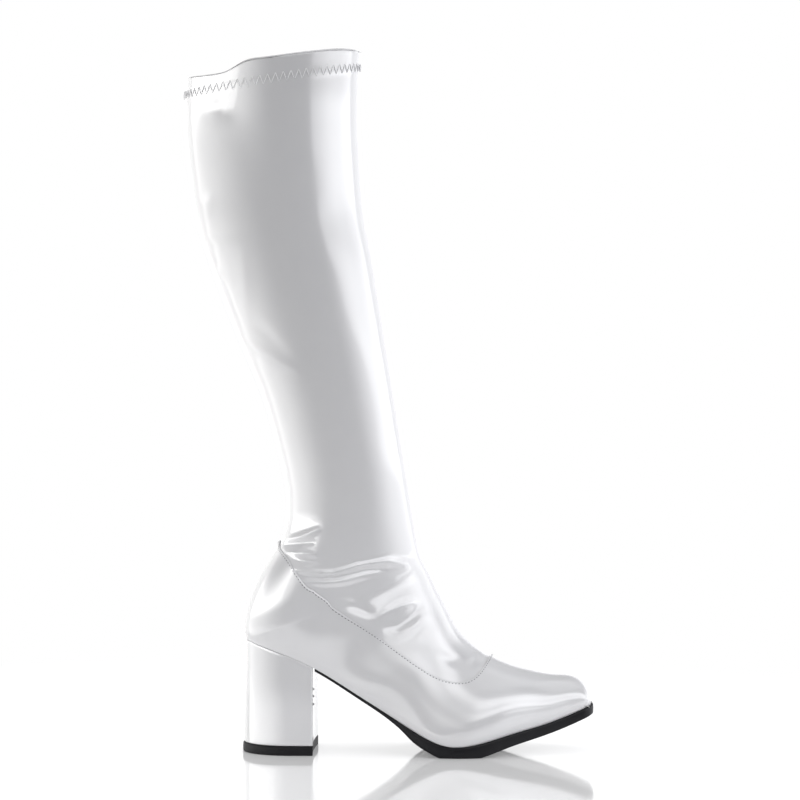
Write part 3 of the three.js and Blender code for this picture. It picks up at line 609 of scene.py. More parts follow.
# %% Helper: lay a grid primitive on points
def wrapped_grid(name, points):
    """Grid primitive laid on an array of points in millimetres: rows, columns, x y z."""
    rows, columns = points.shape[:2]
    bpy.ops.mesh.primitive_grid_add(x_subdivisions=columns - 1, y_subdivisions=rows - 1, size=1)
    piece = bpy.context.object
    piece.name = name
    piece.data.name = name
    piece.data.vertices.foreach_set("co", (points * MM).reshape(-1))
    return piece


def merge_and_face_out(piece):
    bpy.context.view_layer.objects.active = piece
    bpy.ops.object.mode_set(mode="EDIT")
    bpy.ops.mesh.select_all(action="SELECT")
    bpy.ops.mesh.remove_doubles(threshold=0.002 * MM)
    bpy.ops.mesh.normals_make_consistent(inside=False)
    bpy.ops.object.mode_set(mode="OBJECT")
    bpy.ops.object.shade_smooth()


def finish_piece(piece, slot, *nodes):
    """Hangs the piece on the root body and hides the solids that it stands for. The slot argument is not
    used.
    """
    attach(piece, "root")
    if nodes:
        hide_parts(*nodes)
    piece.select_set(False)
    print(piece.name, "faces:", len(piece.data.polygons))


# %% [markdown]
# Materials
# Patent is a coloured base under a clear, wet-looking coat. The base scatters light softly, the
# coat gives the sharp reflections. Real patent is never quite flat: a faint orange peel, made by
# noise in a bump, breaks the edges of the reflections. That effect is used by several materials,
# so it is a node group with named inputs.

# %% Node helpers
def new_material(name):
    material = bpy.data.materials.new(name)
    material.use_nodes = True
    tree = material.node_tree
    return material, tree, tree.nodes["Principled BSDF"]


def fill(tree, node, inputs):
    """Fills inputs of a node: another socket is linked, anything else is set as a plain value."""
    for key, value in inputs.items():
        if isinstance(value, bpy.types.NodeSocket):
            tree.links.new(value, node.inputs[key])
        else:
            node.inputs[key].default_value = value
    return node


def object_point(tree):
    return tree.nodes.new("ShaderNodeTexCoord").outputs["Object"]


def add_math(tree, operation, *values):
    node = tree.nodes.new("ShaderNodeMath")
    node.operation = operation
    return fill(tree, node, dict(enumerate(values))).outputs[0]


def add_noise(tree, point, scale, detail):
    node = tree.nodes.new("ShaderNodeTexNoise")
    return fill(tree, node, {"Vector": point, "Scale": scale, "Detail": detail}).outputs["Fac"]


def mix_colors(tree, share, first, second):
    node = tree.nodes.new("ShaderNodeMix")
    node.data_type = "RGBA"
    return fill(tree, node, {0: share, 6: first, 7: second}).outputs[2]


def mix_shaders(tree, share, first, second):
    node = tree.nodes.new("ShaderNodeMixShader")
    return fill(tree, node, {0: share, 1: first, 2: second}).outputs[0]


GRAIN_INPUTS = ("Fine Scale", "Broad Scale", "Grain Height", "Wave Height", "Smooth", "Rough")


def make_surface_group():
    """Mottled colour, roughness and a bumped normal from two sizes of noise."""
    group = bpy.data.node_groups.new("surface_grain", "ShaderNodeTree")
    face = group.interface
    face.new_socket(name="Point", in_out="INPUT", socket_type="NodeSocketVector")
    for name in ("Light", "Dark"):
        face.new_socket(name=name, in_out="INPUT", socket_type="NodeSocketColor")
    for name in GRAIN_INPUTS:
        face.new_socket(name=name, in_out="INPUT", socket_type="NodeSocketFloat")
    face.new_socket(name="Color", in_out="OUTPUT", socket_type="NodeSocketColor")
    face.new_socket(name="Roughness", in_out="OUTPUT", socket_type="NodeSocketFloat")
    face.new_socket(name="Normal", in_out="OUTPUT", socket_type="NodeSocketVector")
    nodes = group.nodes
    inside = nodes.new("NodeGroupInput").outputs
    fine = add_noise(group, inside["Point"], inside["Fine Scale"], 3)
    broad = add_noise(group, inside["Point"], inside["Broad Scale"], 2)
    rough = fill(group, nodes.new("ShaderNodeMix"), {0: fine, 2: inside["Smooth"], 3: inside["Rough"]})
    wave = add_math(group, "MULTIPLY", broad, inside["Wave Height"])
    height = add_math(group, "MULTIPLY_ADD", fine, inside["Grain Height"], wave)
    bump = fill(group, nodes.new("ShaderNodeBump"), {"Strength": 1, "Distance": MM, "Height": height})
    fill(group, nodes.new("NodeGroupOutput"), {
        "Color": mix_colors(group, broad, inside["Light"], inside["Dark"]),
        "Roughness": rough.outputs[0],
        "Normal": bump.outputs["Normal"],
    })
    return group


SURFACE_GRAIN = make_surface_group()


def make_finish(name, light, dark, grain, shine):
    """A material from two colours, its grain in the order of the group's inputs, and its shine."""
    material, tree, shader = new_material(name)
    surface = tree.nodes.new("ShaderNodeGroup")
    surface.node_tree = SURFACE_GRAIN
    colours = {"Point": object_point(tree), "Light": (*light, 1), "Dark": (*dark, 1)}
    fill(tree, surface, {**colours, **dict(zip(GRAIN_INPUTS, grain))})
    fill(tree, shader, {
        "Base Color": surface.outputs["Color"],
        "Roughness": surface.outputs["Roughness"],
        "Normal": surface.outputs["Normal"],
        **shine,
    })
    return material


# %% White patent
PATENT_COLOURS = ((0.76, 0.76, 0.775), (0.73, 0.73, 0.75))
PATENT_SHINE = {"IOR": 1.5, "Coat Weight": 1.0, "Coat Roughness": 0.025, "Coat IOR": 2.1}

# grain: fine scale, broad scale, grain height, wave height, smoothest, roughest
PATENT = make_finish("white_patent", *PATENT_COLOURS, (1400, 55, 0.004, 0.03, 0.16, 0.24), PATENT_SHINE)
HEEL_PATENT = make_finish("heel_patent", *PATENT_COLOURS, (1400, 55, 0.004, 0.02, 0.16, 0.24), PATENT_SHINE)


# %% Lining, sock and thread
CLOTH_SHINE = {"Specular IOR Level": 0.3, "Sheen Weight": 0.25, "Sheen Roughness": 0.5}


def make_cloth(name, light, dark, scale, height, rough):
    return make_finish(name, light, dark, (scale, 90, height, 0.05, rough - 0.1, rough), CLOTH_SHINE)


LINING = make_cloth("knit_lining", (0.84, 0.83, 0.80), (0.78, 0.77, 0.74), 1600, 0.12, 0.9)
SOCK = make_cloth("sock_cloth", (0.82, 0.80, 0.75), (0.74, 0.72, 0.67), 1100, 0.16, 0.85)
THREAD = make_cloth("white_thread", (0.96, 0.96, 0.97), (0.90, 0.90, 0.92), 2600, 0.05, 0.55)
SEAM_THREAD = make_cloth("grey_thread", (0.16, 0.16, 0.18), (0.11, 0.11, 0.13), 2600, 0.05, 0.6)


# %% Black rubber and steel
RUBBER_COLOURS = ((0.008, 0.008, 0.010), (0.014, 0.014, 0.016))
RUBBER_SHINE = {"Specular IOR Level": 0.2}
STEEL_COLOURS = ((0.55, 0.55, 0.57), (0.42, 0.42, 0.44))

SOLE_RUBBER = make_finish("sole_rubber", *RUBBER_COLOURS, (700, 120, 0.03, 0.06, 0.26, 0.36), RUBBER_SHINE)
LIFT_RUBBER = make_finish("lift_rubber", *RUBBER_COLOURS, (700, 120, 0.05, 0.06, 0.45, 0.6), RUBBER_SHINE)
PIN_STEEL = make_finish("pin_steel", *STEEL_COLOURS, (1800, 300, 0.01, 0.01, 0.3, 0.45), {"Metallic": 1.0})
print("materials:", sorted(m.name for m in bpy.data.materials))

# %% [markdown]
# Shaft and foot part
# Each panel is a wall: an outer face on the folded net and an inner face behind it. Its profile
# goes down the outside, round the lower edge, up the inside and over the top. The shaft reaches
# a few millimetres under the foot part, as it does where the two are sewn. The collar is turned
# in, so the wall is thicker there and its edge is round.


# %% Wall of a panel
def net_at(row):
    """Points, normals and upward directions of the folded net at a row, whole or between two."""
    low = int(np.clip(math.floor(row), 0, LAST_ROW - 1))
    share = row - low
    point = mix(FOLDED[low], FOLDED[low + 1], share)
    normal = mix(FOLDED_NORMAL[low], FOLDED_NORMAL[low + 1], share)
    up = FOLDED[max(0, low - 1)] - FOLDED[low + 1]
    return point, normal, up / np.linalg.norm(up, axis=-1, keepdims=True)


def wall_row(row, level, rise=0.0):
    point, normal, up = net_at(row)
    level = np.broadcast_to(level, (RING,))[:, None]
    return point + normal * level + up * rise


PROUD_FADE = 6.0


def step_level(row):
    """How far the foot part stands proud, fading out above the feather edge."""
    point, _, _ = net_at(row)
    return SEAM_STEP * smooth_step((point[:, 2] - feather_z(point[:, 0])) / PROUD_FADE)


HEM_DEPTH = 17.0
HEM_FOLD = 1.2


def row_below_cut(distance, column):
    """The row of the net that lies a distance below the cut of the solid, in millimetres."""
    left = int(math.floor(column)) % RING
    share = column - math.floor(column)
    reach = mix(BELOW_CUT[:, left], BELOW_CUT[:, (left + 1) % RING], share)
    return float(np.interp(distance, reach, np.arange(len(reach))))


SIDE_COLUMN = HALF_COLUMNS // 2
HEM_STITCH_DROP = 12.6
HEM_ROW = row_below_cut(HEM_DEPTH, SIDE_COLUMN)
HEM_STITCH_ROW = row_below_cut(HEM_STITCH_DROP, SIDE_COLUMN)
HEM_DIP = 0.08
HEM_DIP_ROWS = 2.6
LAP_ROWS = 5
ROUND_ROWS = 7


def shaft_profile():
    hem = WALL + HEM_FOLD
    rows = []
    for turn in np.linspace(math.pi / 2, 0, ROUND_ROWS):
        rows.append((0, hem / 2 * (math.cos(turn) - 1), hem / 2 * (math.sin(turn) - 1)))
    for row in np.arange(1, SEAM_ROW + LAP_ROWS + 1):
        dip = HEM_DIP * math.exp(-((row - HEM_STITCH_ROW) / HEM_DIP_ROWS) ** 2)
        rows.append((row, -dip, 0.0))
    rows[-1] = (SEAM_ROW + LAP_ROWS, -0.4, 0.0)
    for row in np.linspace(SEAM_ROW + LAP_ROWS, HEM_ROW * 1.1, 60):
        rows.append((row, -WALL, 0.0))
    for row in np.linspace(HEM_ROW, 1, 5):
        rows.append((row, -hem, 0.0))
    for turn in np.linspace(0, math.pi / 2, ROUND_ROWS):
        rows.append((0, -hem / 2 * (math.cos(turn) + 1), hem / 2 * (math.sin(turn) - 1)))
    return rows


def build_shaft():
    profile = shaft_profile()
    points = np.array([wall_row(row, level, rise) for row, level, rise in profile])
    inner_from = ROUND_ROWS + SEAM_ROW + LAP_ROWS
    piece = wrapped_grid("shaft", close_ring(points))
    piece.data.materials.append(PATENT)
    piece.data.materials.append(LINING)
    face_rows = np.arange(len(profile) - 1)
    is_lining = (face_rows >= inner_from) & (face_rows < len(profile) - ROUND_ROWS - 1)
    piece.data.polygons.foreach_set("material_index", np.repeat(is_lining.astype(np.int32), RING))
    merge_and_face_out(piece)
    return piece


shaft = build_shaft()
finish_piece(shaft, "patent", "upper")


# %% Foot part
EDGE_ROWS = 0.15
LAP_LEVEL = 0.04


def foot_profile():
    top = SEAM_ROW + EDGE_ROWS
    rows = [(top, 0.0, 0.02), (top, SEAM_STEP * 0.6, 0.0), (top + EDGE_ROWS, SEAM_STEP * 0.95, 0.0)]
    for row in np.arange(SEAM_ROW + 1, LAST_ROW + 1):
        rows.append((row, None, 0.0))
    for row in np.linspace(LAST_ROW, SEAM_ROW + LAP_ROWS + 2, 34):
        rows.append((row, -WALL, 0.0))
    return rows + [(SEAM_ROW + LAP_ROWS + 1, LAP_LEVEL, 0.0), (SEAM_ROW + 2, LAP_LEVEL, 0.0)]


def build_foot_part():
    profile = foot_profile()
    points = []
    for row, level, rise in profile:
        points.append(wall_row(row, step_level(row) if level is None else level, rise))
    points = np.array(points)
    closed = np.concatenate([points, points[:1]])
    piece = wrapped_grid("foot_part", close_ring(closed))
    piece.data.materials.append(PATENT)
    piece.data.materials.append(LINING)
    is_lining = np.arange(len(profile)) >= 3 + LAST_ROW - SEAM_ROW
    piece.data.polygons.foreach_set("material_index", np.repeat(is_lining.astype(np.int32), RING))
    merge_and_face_out(piece)
    return piece


foot_part = build_foot_part()
finish_piece(foot_part, "patent", "upper")

# %% [markdown]
# Threads
# The hem is held by a zigzag of white thread, which lets the collar stretch. The foot part has a
# row of short straight stitches just below its edge. Each stitch is a little tube whose ends dive
# into the patent. All the stitches of a row are one mesh.


# %% Stitches
def surface_at(row, column, level):
    """Point and normal on the net at fractional rows and columns, arrays of equal length."""
    low = np.clip(np.floor(row).astype(int), 0, LAST_ROW - 1)
    left = np.floor(column).astype(int) % RING
    right = (left + 1) % RING
    down_share = (row - low)[:, None]
    side_share = (column - np.floor(column))[:, None]

    def blend(net):
        return mix(
            mix(net[low, left], net[low, right], side_share),
            mix(net[low + 1, left], net[low + 1, right], side_share), down_share,
        )

    normal = blend(FOLDED_NORMAL)
    return blend(FOLDED) + normal * np.asarray(level)[:, None], normal


def stitch_tube(row_from, row_to, column_from, column_to, radius, lift, sides=6, steps=6):
    """Rings of points of one stitch, from hole to hole."""
    share = np.linspace(0, 1, steps + 1)
    row = mix(row_from, row_to, share)
    column = mix(column_from, column_to, share)
    arch = lift * np.sin(math.pi * share) ** 0.6 - radius * 0.9
    centre, normal = surface_at(row, column, arch)
    run = np.gradient(centre, axis=0)
    run /= np.linalg.norm(run, axis=-1, keepdims=True)
    across = np.cross(run, normal)
    turns = np.linspace(0, 2 * math.pi, sides, endpoint=False)
    ring = across[:, None, :] * np.cos(turns)[None, :, None]
    ring = ring + normal[:, None, :] * np.sin(turns)[None, :, None]
    swell = (0.75 + 0.25 * np.sin(math.pi * share))[:, None, None]
    return centre[:, None, :] + ring * radius * swell


def tubes_mesh(name, tubes, material):
    """One mesh from many tubes, each closed by a face at both ends."""
    points = []
    faces = []
    for tube in tubes:
        base = len(points)
        steps, sides = tube.shape[:2]
        points.extend((tube * MM).reshape(-1, 3).tolist())
        for i in range(steps - 1):
            for k in range(sides):
                after = (k + 1) % sides
                faces.append((
                    base + i * sides + k, base + i * sides + after,
                    base + (i + 1) * sides + after, base + (i + 1) * sides + k,
                ))
        faces.append([base + k for k in range(sides)][::-1])
        faces.append([base + (steps - 1) * sides + k for k in range(sides)])
    mesh = bpy.data.meshes.new(name)
    mesh.from_pydata(points, [], faces)
    piece = bpy.data.objects.new(name, mesh)
    bpy.context.scene.collection.objects.link(piece)
    mesh.materials.append(material)
    piece.select_set(True)
    merge_and_face_out(piece)
    return piece


ZIGZAG_HEIGHT = 6.8
ZIGZAG_PITCH = 5.2
ZIGZAG_DROP = natural_spline([-66, -12, 56], [13.6, 12.6, 11.8])
THREAD_RADIUS = 0.25
THREAD_LIFT = 0.42


def build_hem_stitch():
    hem_ring = FOLDED[int(HEM_STITCH_ROW)]
    around = np.linalg.norm(np.roll(hem_ring, -1, axis=0) - hem_ring, axis=-1)
    reached = np.concatenate([[0], np.cumsum(around)])
    strokes = 2 * int(round(reached[-1] / ZIGZAG_PITCH))
    stops = np.interp(np.linspace(0, reached[-1], strokes + 1), reached, np.arange(RING + 1))
    tubes = []
    for i in range(strokes):
        sign = 1 if i % 2 else -1
        ends = []
        for stop, way in ((stops[i], sign), (stops[i + 1], -sign)):
            drop = float(ZIGZAG_DROP(hem_ring[int(stop) % RING, 0]))
            ends.append(row_below_cut(drop + way * ZIGZAG_HEIGHT / 2, stop))
        tubes.append(stitch_tube(ends[0], ends[1], stops[i], stops[i + 1], THREAD_RADIUS, THREAD_LIFT))
    return tubes_mesh("hem_stitch", tubes, THREAD)


hem_stitch = build_hem_stitch()
finish_piece(hem_stitch, "thread", "upper")

SEAM_STITCH_PITCH = 2.25
SEAM_STITCH_LENGTH = 1.3
SEAM_STITCH_INSET = 1.5
SEAM_THREAD_RADIUS = 0.3
SEAM_THREAD_LIFT = 0.24


def build_seam_stitch():
    edge = FOLDED[SEAM_ROW]
    below = FOLDED[SEAM_ROW + 1]
    row_step = np.linalg.norm(below - edge, axis=-1)
    around = np.linalg.norm(np.roll(edge, -1, axis=0) - edge, axis=-1)
    reached = np.concatenate([[0], np.cumsum(around)])
    count = int(reached[-1] / SEAM_STITCH_PITCH)
    tubes = []
    for i in range(count):
        start = reached[-1] * i / count
        from_column, to_column = np.interp([start, start + SEAM_STITCH_LENGTH], reached, np.arange(RING + 1))
        near = int(from_column) % RING
        row = SEAM_ROW + SEAM_STITCH_INSET / row_step[near]
        tube = stitch_tube(
            row, row, from_column, to_column, SEAM_THREAD_RADIUS, SEAM_THREAD_LIFT, steps=4
        )
        _, normal = surface_at(np.array([row]), np.array([from_column]), [0.0])
        tubes.append(tube + normal[0] * SEAM_STEP)
    return tubes_mesh("seam_stitch", tubes, SEAM_THREAD)


seam_stitch = build_seam_stitch()
finish_piece(seam_stitch, "thread", "upper")

# %% [markdown]
# Sole, insole and heel
# These are flat pieces with an outline. A ring of points round the edge is joined to a centre line
# by rows, like the ribs of a leaf, first on the underside and then on the top. The grid's first
# and last rows collapse onto the centre line and merge there.

# %% Outline of the foot
SLOPE_REACH = 0.4
SLOPE_END = 0.05


def end_share(x):
    seat = 1 - smooth_step((along_foot(x) - SEAT_ROUND) / 0.06)
    toe = smooth_step((x - TOE_FRONT) / TOE_CORNER + 2.5)
    return np.maximum(seat, toe)


def outline_edge(x, side, margin):
    """Point of the foot outline moved outwards by a margin."""
    start = np.maximum(SEAT_BACK + SLOPE_END, x - SLOPE_REACH)
    stop = np.minimum(TOE_FRONT - SLOPE_END, x + SLOPE_REACH)
    slope = (feather_half(stop, side) - feather_half(start, side)) / (stop - start)
    length = np.hypot(1, slope)
    turned = end_share(x)
    edge_x = x - turned * margin * slope / length
    edge_y = side * (feather_half(x, side) + margin * (1 + (1 - turned) * slope ** 2) / length)
    return edge_x, edge_y


def outline_stations(start, end, count):
    """Places along the foot, closer together where the outline turns."""
    from_travel, to_travel = np.interp([start, end], TRAVEL_X, TRAVEL)
    return feather_x_at(np.linspace(from_travel, to_travel, count))


def leaf_grid(name, edge, centre, layers):
    """Closed piece from its edge, its centre line and layers of (share to the edge, margin, height)."""
    rows = []
    for share, grow, height in layers:
        edge_x, edge_y = edge(grow)
        x = mix(centre[0], edge_x, share)
        y = mix(centre[1], edge_y, share)
        rows.append(np.stack([x, y, height(x, y)], axis=-1))
    piece = wrapped_grid(name, close_ring(np.array(rows)))
    merge_and_face_out(piece)
    return piece


SOLE_ROWS = [
    (0.20, 1.00, 0.000), (0.34, 1.28, 0.000), (0.43, 1.10, 0.223), (0.455, 0.70, 0.516),
    (0.48, 0.30, 0.948), (0.51, 0.10, 1.157), (0.56, 0.00, 1.324), (0.70, 0.00, 1.352),
    (0.76, 0.00, 1.199), (0.85, 0.00, 1.087), (1.00, 0.00, 1.000),
]
SOLE = column_curves(SOLE_ROWS, ("waist", "toe"))
WAIST_SOLE = 1.7
TOE_SOLE = 6.6
SOLE_MARGIN = 1.6
FIT = 0.05


def sole_bottom(x):
    along = along_foot(x)
    thickness = WAIST_SOLE * SOLE["waist"](along) + TOE_SOLE * SOLE["toe"](along)
    return np.maximum(0, feather_z(x) - GAP - thickness)


def sole_margin(x):
    return SOLE_MARGIN * smooth_step((along_foot(x) - 0.36) / 0.16)


def foot_ring(start, count, front_count):
    """Stations of the outline ring: outer side to the toe, across its front, inner side back."""
    x = outline_stations(start, TOE_FRONT, count)
    across = np.linspace(0, 1, front_count + 1)[1:]
    station = np.concatenate([x, np.full(front_count, TOE_FRONT)])
    front = np.concatenate([np.zeros(count), across])
    station = np.concatenate([station, station[-2::-1]])
    front = np.concatenate([front, front[-2::-1]])
    side = np.concatenate([-np.ones(count + front_count), np.ones(count + front_count - 1)])
    return station, front, side


def foot_edge(station, front, side, margin):
    x, y = outline_edge(station, side, margin)
    middle = (feather_half(TOE_FRONT, 1) - feather_half(TOE_FRONT, -1)) / 2
    return x, mix(y, middle, front)


def centre_line(station, start, inset):
    x = mix(start + inset, TOE_FRONT - inset, (station - start) / (TOE_FRONT - start))
    y = (feather_half(x, np.ones_like(x)) - feather_half(x, -np.ones_like(x))) / 2
    return x, y


# %% Outsole
SOLE_RING = foot_ring(BREAST_X + GAP, 150, 10)
TREAD_DEPTH = 0.5
TREAD_MARGIN = 0.86


def build_outsole():
    station, front, side = SOLE_RING
    centre = centre_line(station, BREAST_X + GAP, 1.0)

    def edge(grow):
        return foot_edge(station, front, side, sole_margin(station) + grow)

    def bottom(x, y):
        return sole_bottom(x)

    def tread(x, y):
        field = smooth_step((x - 88) / 6) * smooth_step((186 - x) / 6)
        return sole_bottom(x) + TREAD_DEPTH * field

    def side_height(share, rise):
        def at(x, y):
            low = sole_bottom(x)
            high = feather_z(x) - FIT
            return mix(low, high, share) + rise * np.minimum(1, (high - low) / 4)
        return at

    def top(x, y):
        return feather_z(x) - GAP

    layers = [(share, -1.6, tread) for share in np.linspace(0, TREAD_MARGIN, 14)]
    layers += [(TREAD_MARGIN + 0.02, -1.6, bottom), (0.95, -1.6, bottom)]
    layers += [(1, -1.3, bottom), (1, -0.5, side_height(0, 0.25)), (1, -0.12, side_height(0, 0.75))]
    layers += [(1, 0, side_height(0.25, 0.6)), (1, 0.05, side_height(0.55, 0.2))]
    layers += [(1, 0, side_height(0.86, 0)), (1, -0.25, side_height(0.96, 0)), (1, -0.8, side_height(1, 0))]
    layers += [(1, -3.0, top)]
    layers += [(share, -3.0, top) for share in np.linspace(0.9, 0, 6)]
    piece = leaf_grid("sole", edge, centre, layers)
    piece.data.materials.append(SOLE_RUBBER)
    return piece


sole = build_outsole()
finish_piece(sole, "sole_rubber", "outsole")

# %% Insole with its sock
INSOLE_INSET = WALL + 0.15
INSOLE_THICKNESS = 2.5


def build_insole():
    station, front, side = foot_ring(SEAT_BACK, 130, 10)
    centre = centre_line(station, SEAT_BACK, 9.0)

    def edge(grow):
        return foot_edge(station, front, side, grow - INSOLE_INSET)

    def flat(rise):
        def at(x, y):
            return feather_z(x) + rise
        return at

    def cushion(x, y):
        seat_pad = 0.8 * np.exp(-((x - 5) / 26) ** 2 - (y / 20) ** 2)
        return feather_z(x) + INSOLE_THICKNESS - 0.4 + seat_pad

    layers = [(share, 0, flat(0.05)) for share in (0, 0.5, 0.97)]
    layers += [(1, 0, flat(0.4)), (1, -0.8, flat(1.4)), (1, -1.5, flat(2.2)), (0.97, -1.6, flat(2.5))]
    layers += [(share, -1.6, cushion) for share in np.linspace(0.93, 0, 12)]
    piece = leaf_grid("sock", edge, centre, layers)
    piece.data.materials.append(SOCK)
    return piece


sock = build_insole()
finish_piece(sock, "sock_lining", "insole")

# %% [markdown]
# Covered heel and its lift
# The heel is a hollow block covered with the same patent, which is drawn round to the front, the
# breast. Its outline is a D: the round of the seat, two short corners and a slightly hollow breast.

# %% Heel outline
BREAST_CORNER = 1.6
BREAST_HOLLOW = 1.2
BREAST_REACH = 10.0
BREAST_SKEW = 0.9


def heel_ring(margin, sides=70, corner=7, breast=12):
    """Outline of the heel at a margin, back to breast on the outer side, then the inner side."""
    front = BREAST_X - BREAST_CORNER
    turn = np.linspace(0, math.pi / 2, corner + 1)[1:]
    station = np.concatenate([outline_stations(SEAT_BACK, front, sides), np.full(corner, front)])
    side = -np.ones(len(station))
    x, y = outline_edge(station, side, margin)
    x[sides:] += BREAST_CORNER * np.sin(turn)
    _, front_y = outline_edge(np.array([BREAST_X]), np.array([-1.0]), margin)
    y[sides:] = front_y[0] + BREAST_CORNER * (1 - np.cos(turn))
    inward = np.linspace(1, 0, breast + 1)[1:]
    x = np.concatenate([x, np.full(breast, x[-1])])
    y = np.concatenate([y, y[-1] * inward])
    hollow = BREAST_HOLLOW * smooth_step(1 - (BREAST_X - x) / BREAST_REACH)
    x = x - hollow * np.maximum(0, 1 - (y / (SEAT_WIDTH / 2)) ** 2)
    ring_x = np.concatenate([x, x[-2:0:-1]])
    ring_y = np.concatenate([y, -y[-2:0:-1]])
    near_breast = smooth_step(1 - (BREAST_X - ring_x) / BREAST_REACH)
    return ring_x + BREAST_SKEW * near_breast * ring_y / (SEAT_WIDTH / 2), ring_y


def at_height(z):
    return lambda x: np.full_like(x, z)


def build_heel_stack(name, layers):
    base_x, _ = heel_ring(0.0)
    centre_x = np.clip(base_x, SEAT_BACK + 16, BREAST_X - 6)
    rows = []
    for share, margin, height in layers:
        x, y = heel_ring(margin)
        x = mix(centre_x, x, share)
        y = y * share
        rows.append(np.stack([x, y, height(x)], axis=-1))
    piece = wrapped_grid(name, close_ring(np.array(rows)))
    merge_and_face_out(piece)
    return piece


def build_heel():
    foot = LIFT_THICKNESS + 0.1
    taper = HEEL_TAPER

    def seat(drop):
        return lambda x: feather_z(x) - drop

    def between(share):
        return lambda x: mix(foot + 0.8, feather_z(x) - 0.9, share)

    layers = [(share, taper - 0.9, at_height(foot)) for share in (0, 0.6, 0.97, 1)]
    layers += [(1, taper - 0.35, at_height(foot + 0.12)), (1, taper - 0.05, at_height(foot + 0.45))]
    layers += [(1, mix(taper, 0, min(1, up * 1.2)), between(up)) for up in np.linspace(0, 1, 24)]
    layers += [(1, -0.15, seat(0.4)), (1, -0.6, seat(0.1))]
    layers += [(share, -1.0, seat(0.08)) for share in (1, 0.9, 0.6, 0.3, 0)]
    return build_heel_stack("heel_cover", layers)


heel = build_heel()
heel.data.materials.append(HEEL_PATENT)
finish_piece(heel, "heel_cover", "heel_block")


PIN_HEIGHTS = (41.2, 36.4, 31.0)
PIN_RADIUS = 0.8
PIN_RISE = 0.3


def build_heel_pins():
    ring_x, ring_y = heel_ring(0.0)
    middle = int(np.argmin(np.abs(ring_y) - ring_x / 100))
    tubes = []
    turns = np.linspace(0, 2 * math.pi, 14, endpoint=False)
    for height in PIN_HEIGHTS:
        rings = []
        for radius, rise in ((1, -0.5), (1, 0.15), (0.86, 0.75), (0.45, 1)):
            x = np.full(len(turns), ring_x[middle] + rise * PIN_RISE)
            y = ring_y[middle] + PIN_RADIUS * radius * np.cos(turns)
            rings.append(np.stack([x, y, height + PIN_RADIUS * radius * np.sin(turns)], axis=-1))
        tubes.append(np.array(rings))
    return tubes_mesh("heel_pins", tubes, PIN_STEEL)


heel_pins = build_heel_pins()
finish_piece(heel_pins, "heel_cover", "heel_block")


LIFT_MARGIN = HEEL_TAPER + 0.8
LIFT_TOP = LIFT_THICKNESS - 0.05


def build_lift():
    side_rows = (
        (-0.4, 0.1), (-0.08, 0.45), (0, 1.0), (0.05, 3.2), (-0.1, 5.4), (-0.35, 6.0), (-0.9, LIFT_TOP),
    )
    layers = [(share, LIFT_MARGIN - 1.0, at_height(0)) for share in (0, 0.5, 0.9, 1)]
    layers += [(1, LIFT_MARGIN + grow, at_height(z)) for grow, z in side_rows]
    layers += [(share, LIFT_MARGIN - 1.2, at_height(LIFT_TOP)) for share in (1, 0.6, 0)]
    return build_heel_stack("heel_lift", layers)


lift = build_lift()
lift.data.materials.append(LIFT_RUBBER)
finish_piece(lift, "lift_rubber", "top_lift")

# %% [markdown]
# Studio
# White patent is drawn by what it reflects. The room is a world shader: its brightness is painted
# over the two angles of a direction, across (0 towards the camera's side, minus to its left) and
# up. Soft-edged windows stand for the soft boxes of a photographer. A narrow dim gap is left
# between them, and that gap is the grey middle of the shaft. The floor is a pale glossy sheet.

# %% Floor
FLOOR_SIZE = 14.0
SHEET_NEAR = 0.30
SHEET_FAR = 0.62
WHITE = (1, 1, 1, 1)
FLOOR_FINISH = {
    "Base Color": (0.88, 0.88, 0.885, 1), "Roughness": 0.07, "IOR": 1.38,
    "Emission Color": WHITE, "Emission Strength": 0.15,
}


def add_edge(tree, value, place, softness, before, after):
    """A smooth change from one strength to another where a value passes a place."""
    node = tree.nodes.new("ShaderNodeMapRange")
    node.interpolation_type = "SMOOTHSTEP"
    fill(tree, node, {
        "Value": value, "From Min": place - softness, "From Max": place + softness,
        "To Min": before, "To Max": after,
    })
    return node.outputs["Result"]


def make_floor():
    bpy.ops.mesh.primitive_grid_add(x_subdivisions=4, y_subdivisions=4, size=FLOOR_SIZE)
    floor = bpy.context.object
    floor.name = "studio_floor"
    material, tree, shader = new_material("pale_floor")
    nodes = tree.nodes
    fill(tree, shader, FLOOR_FINISH)
    reach = nodes.new("ShaderNodeVectorMath")
    reach.operation = "LENGTH"
    fill(tree, reach, {0: object_point(tree)})
    middle = (SHEET_NEAR + SHEET_FAR) / 2
    edge = add_edge(tree, reach.outputs["Value"], middle, (SHEET_FAR - SHEET_NEAR) / 2, 0, 1)
    open_room = nodes.new("ShaderNodeBsdfTransparent")
    white = fill(tree, nodes.new("ShaderNodeEmission"), {"Color": WHITE})
    seen = nodes.new("ShaderNodeLightPath").outputs["Is Camera Ray"]
    beyond = mix_shaders(tree, seen, open_room.outputs[0], white.outputs[0])
    whole = mix_shaders(tree, edge, shader.outputs[0], beyond)
    fill(tree, nodes["Material Output"], {"Surface": whole})
    floor.data.materials.append(material)
    floor.select_set(False)


make_floor()


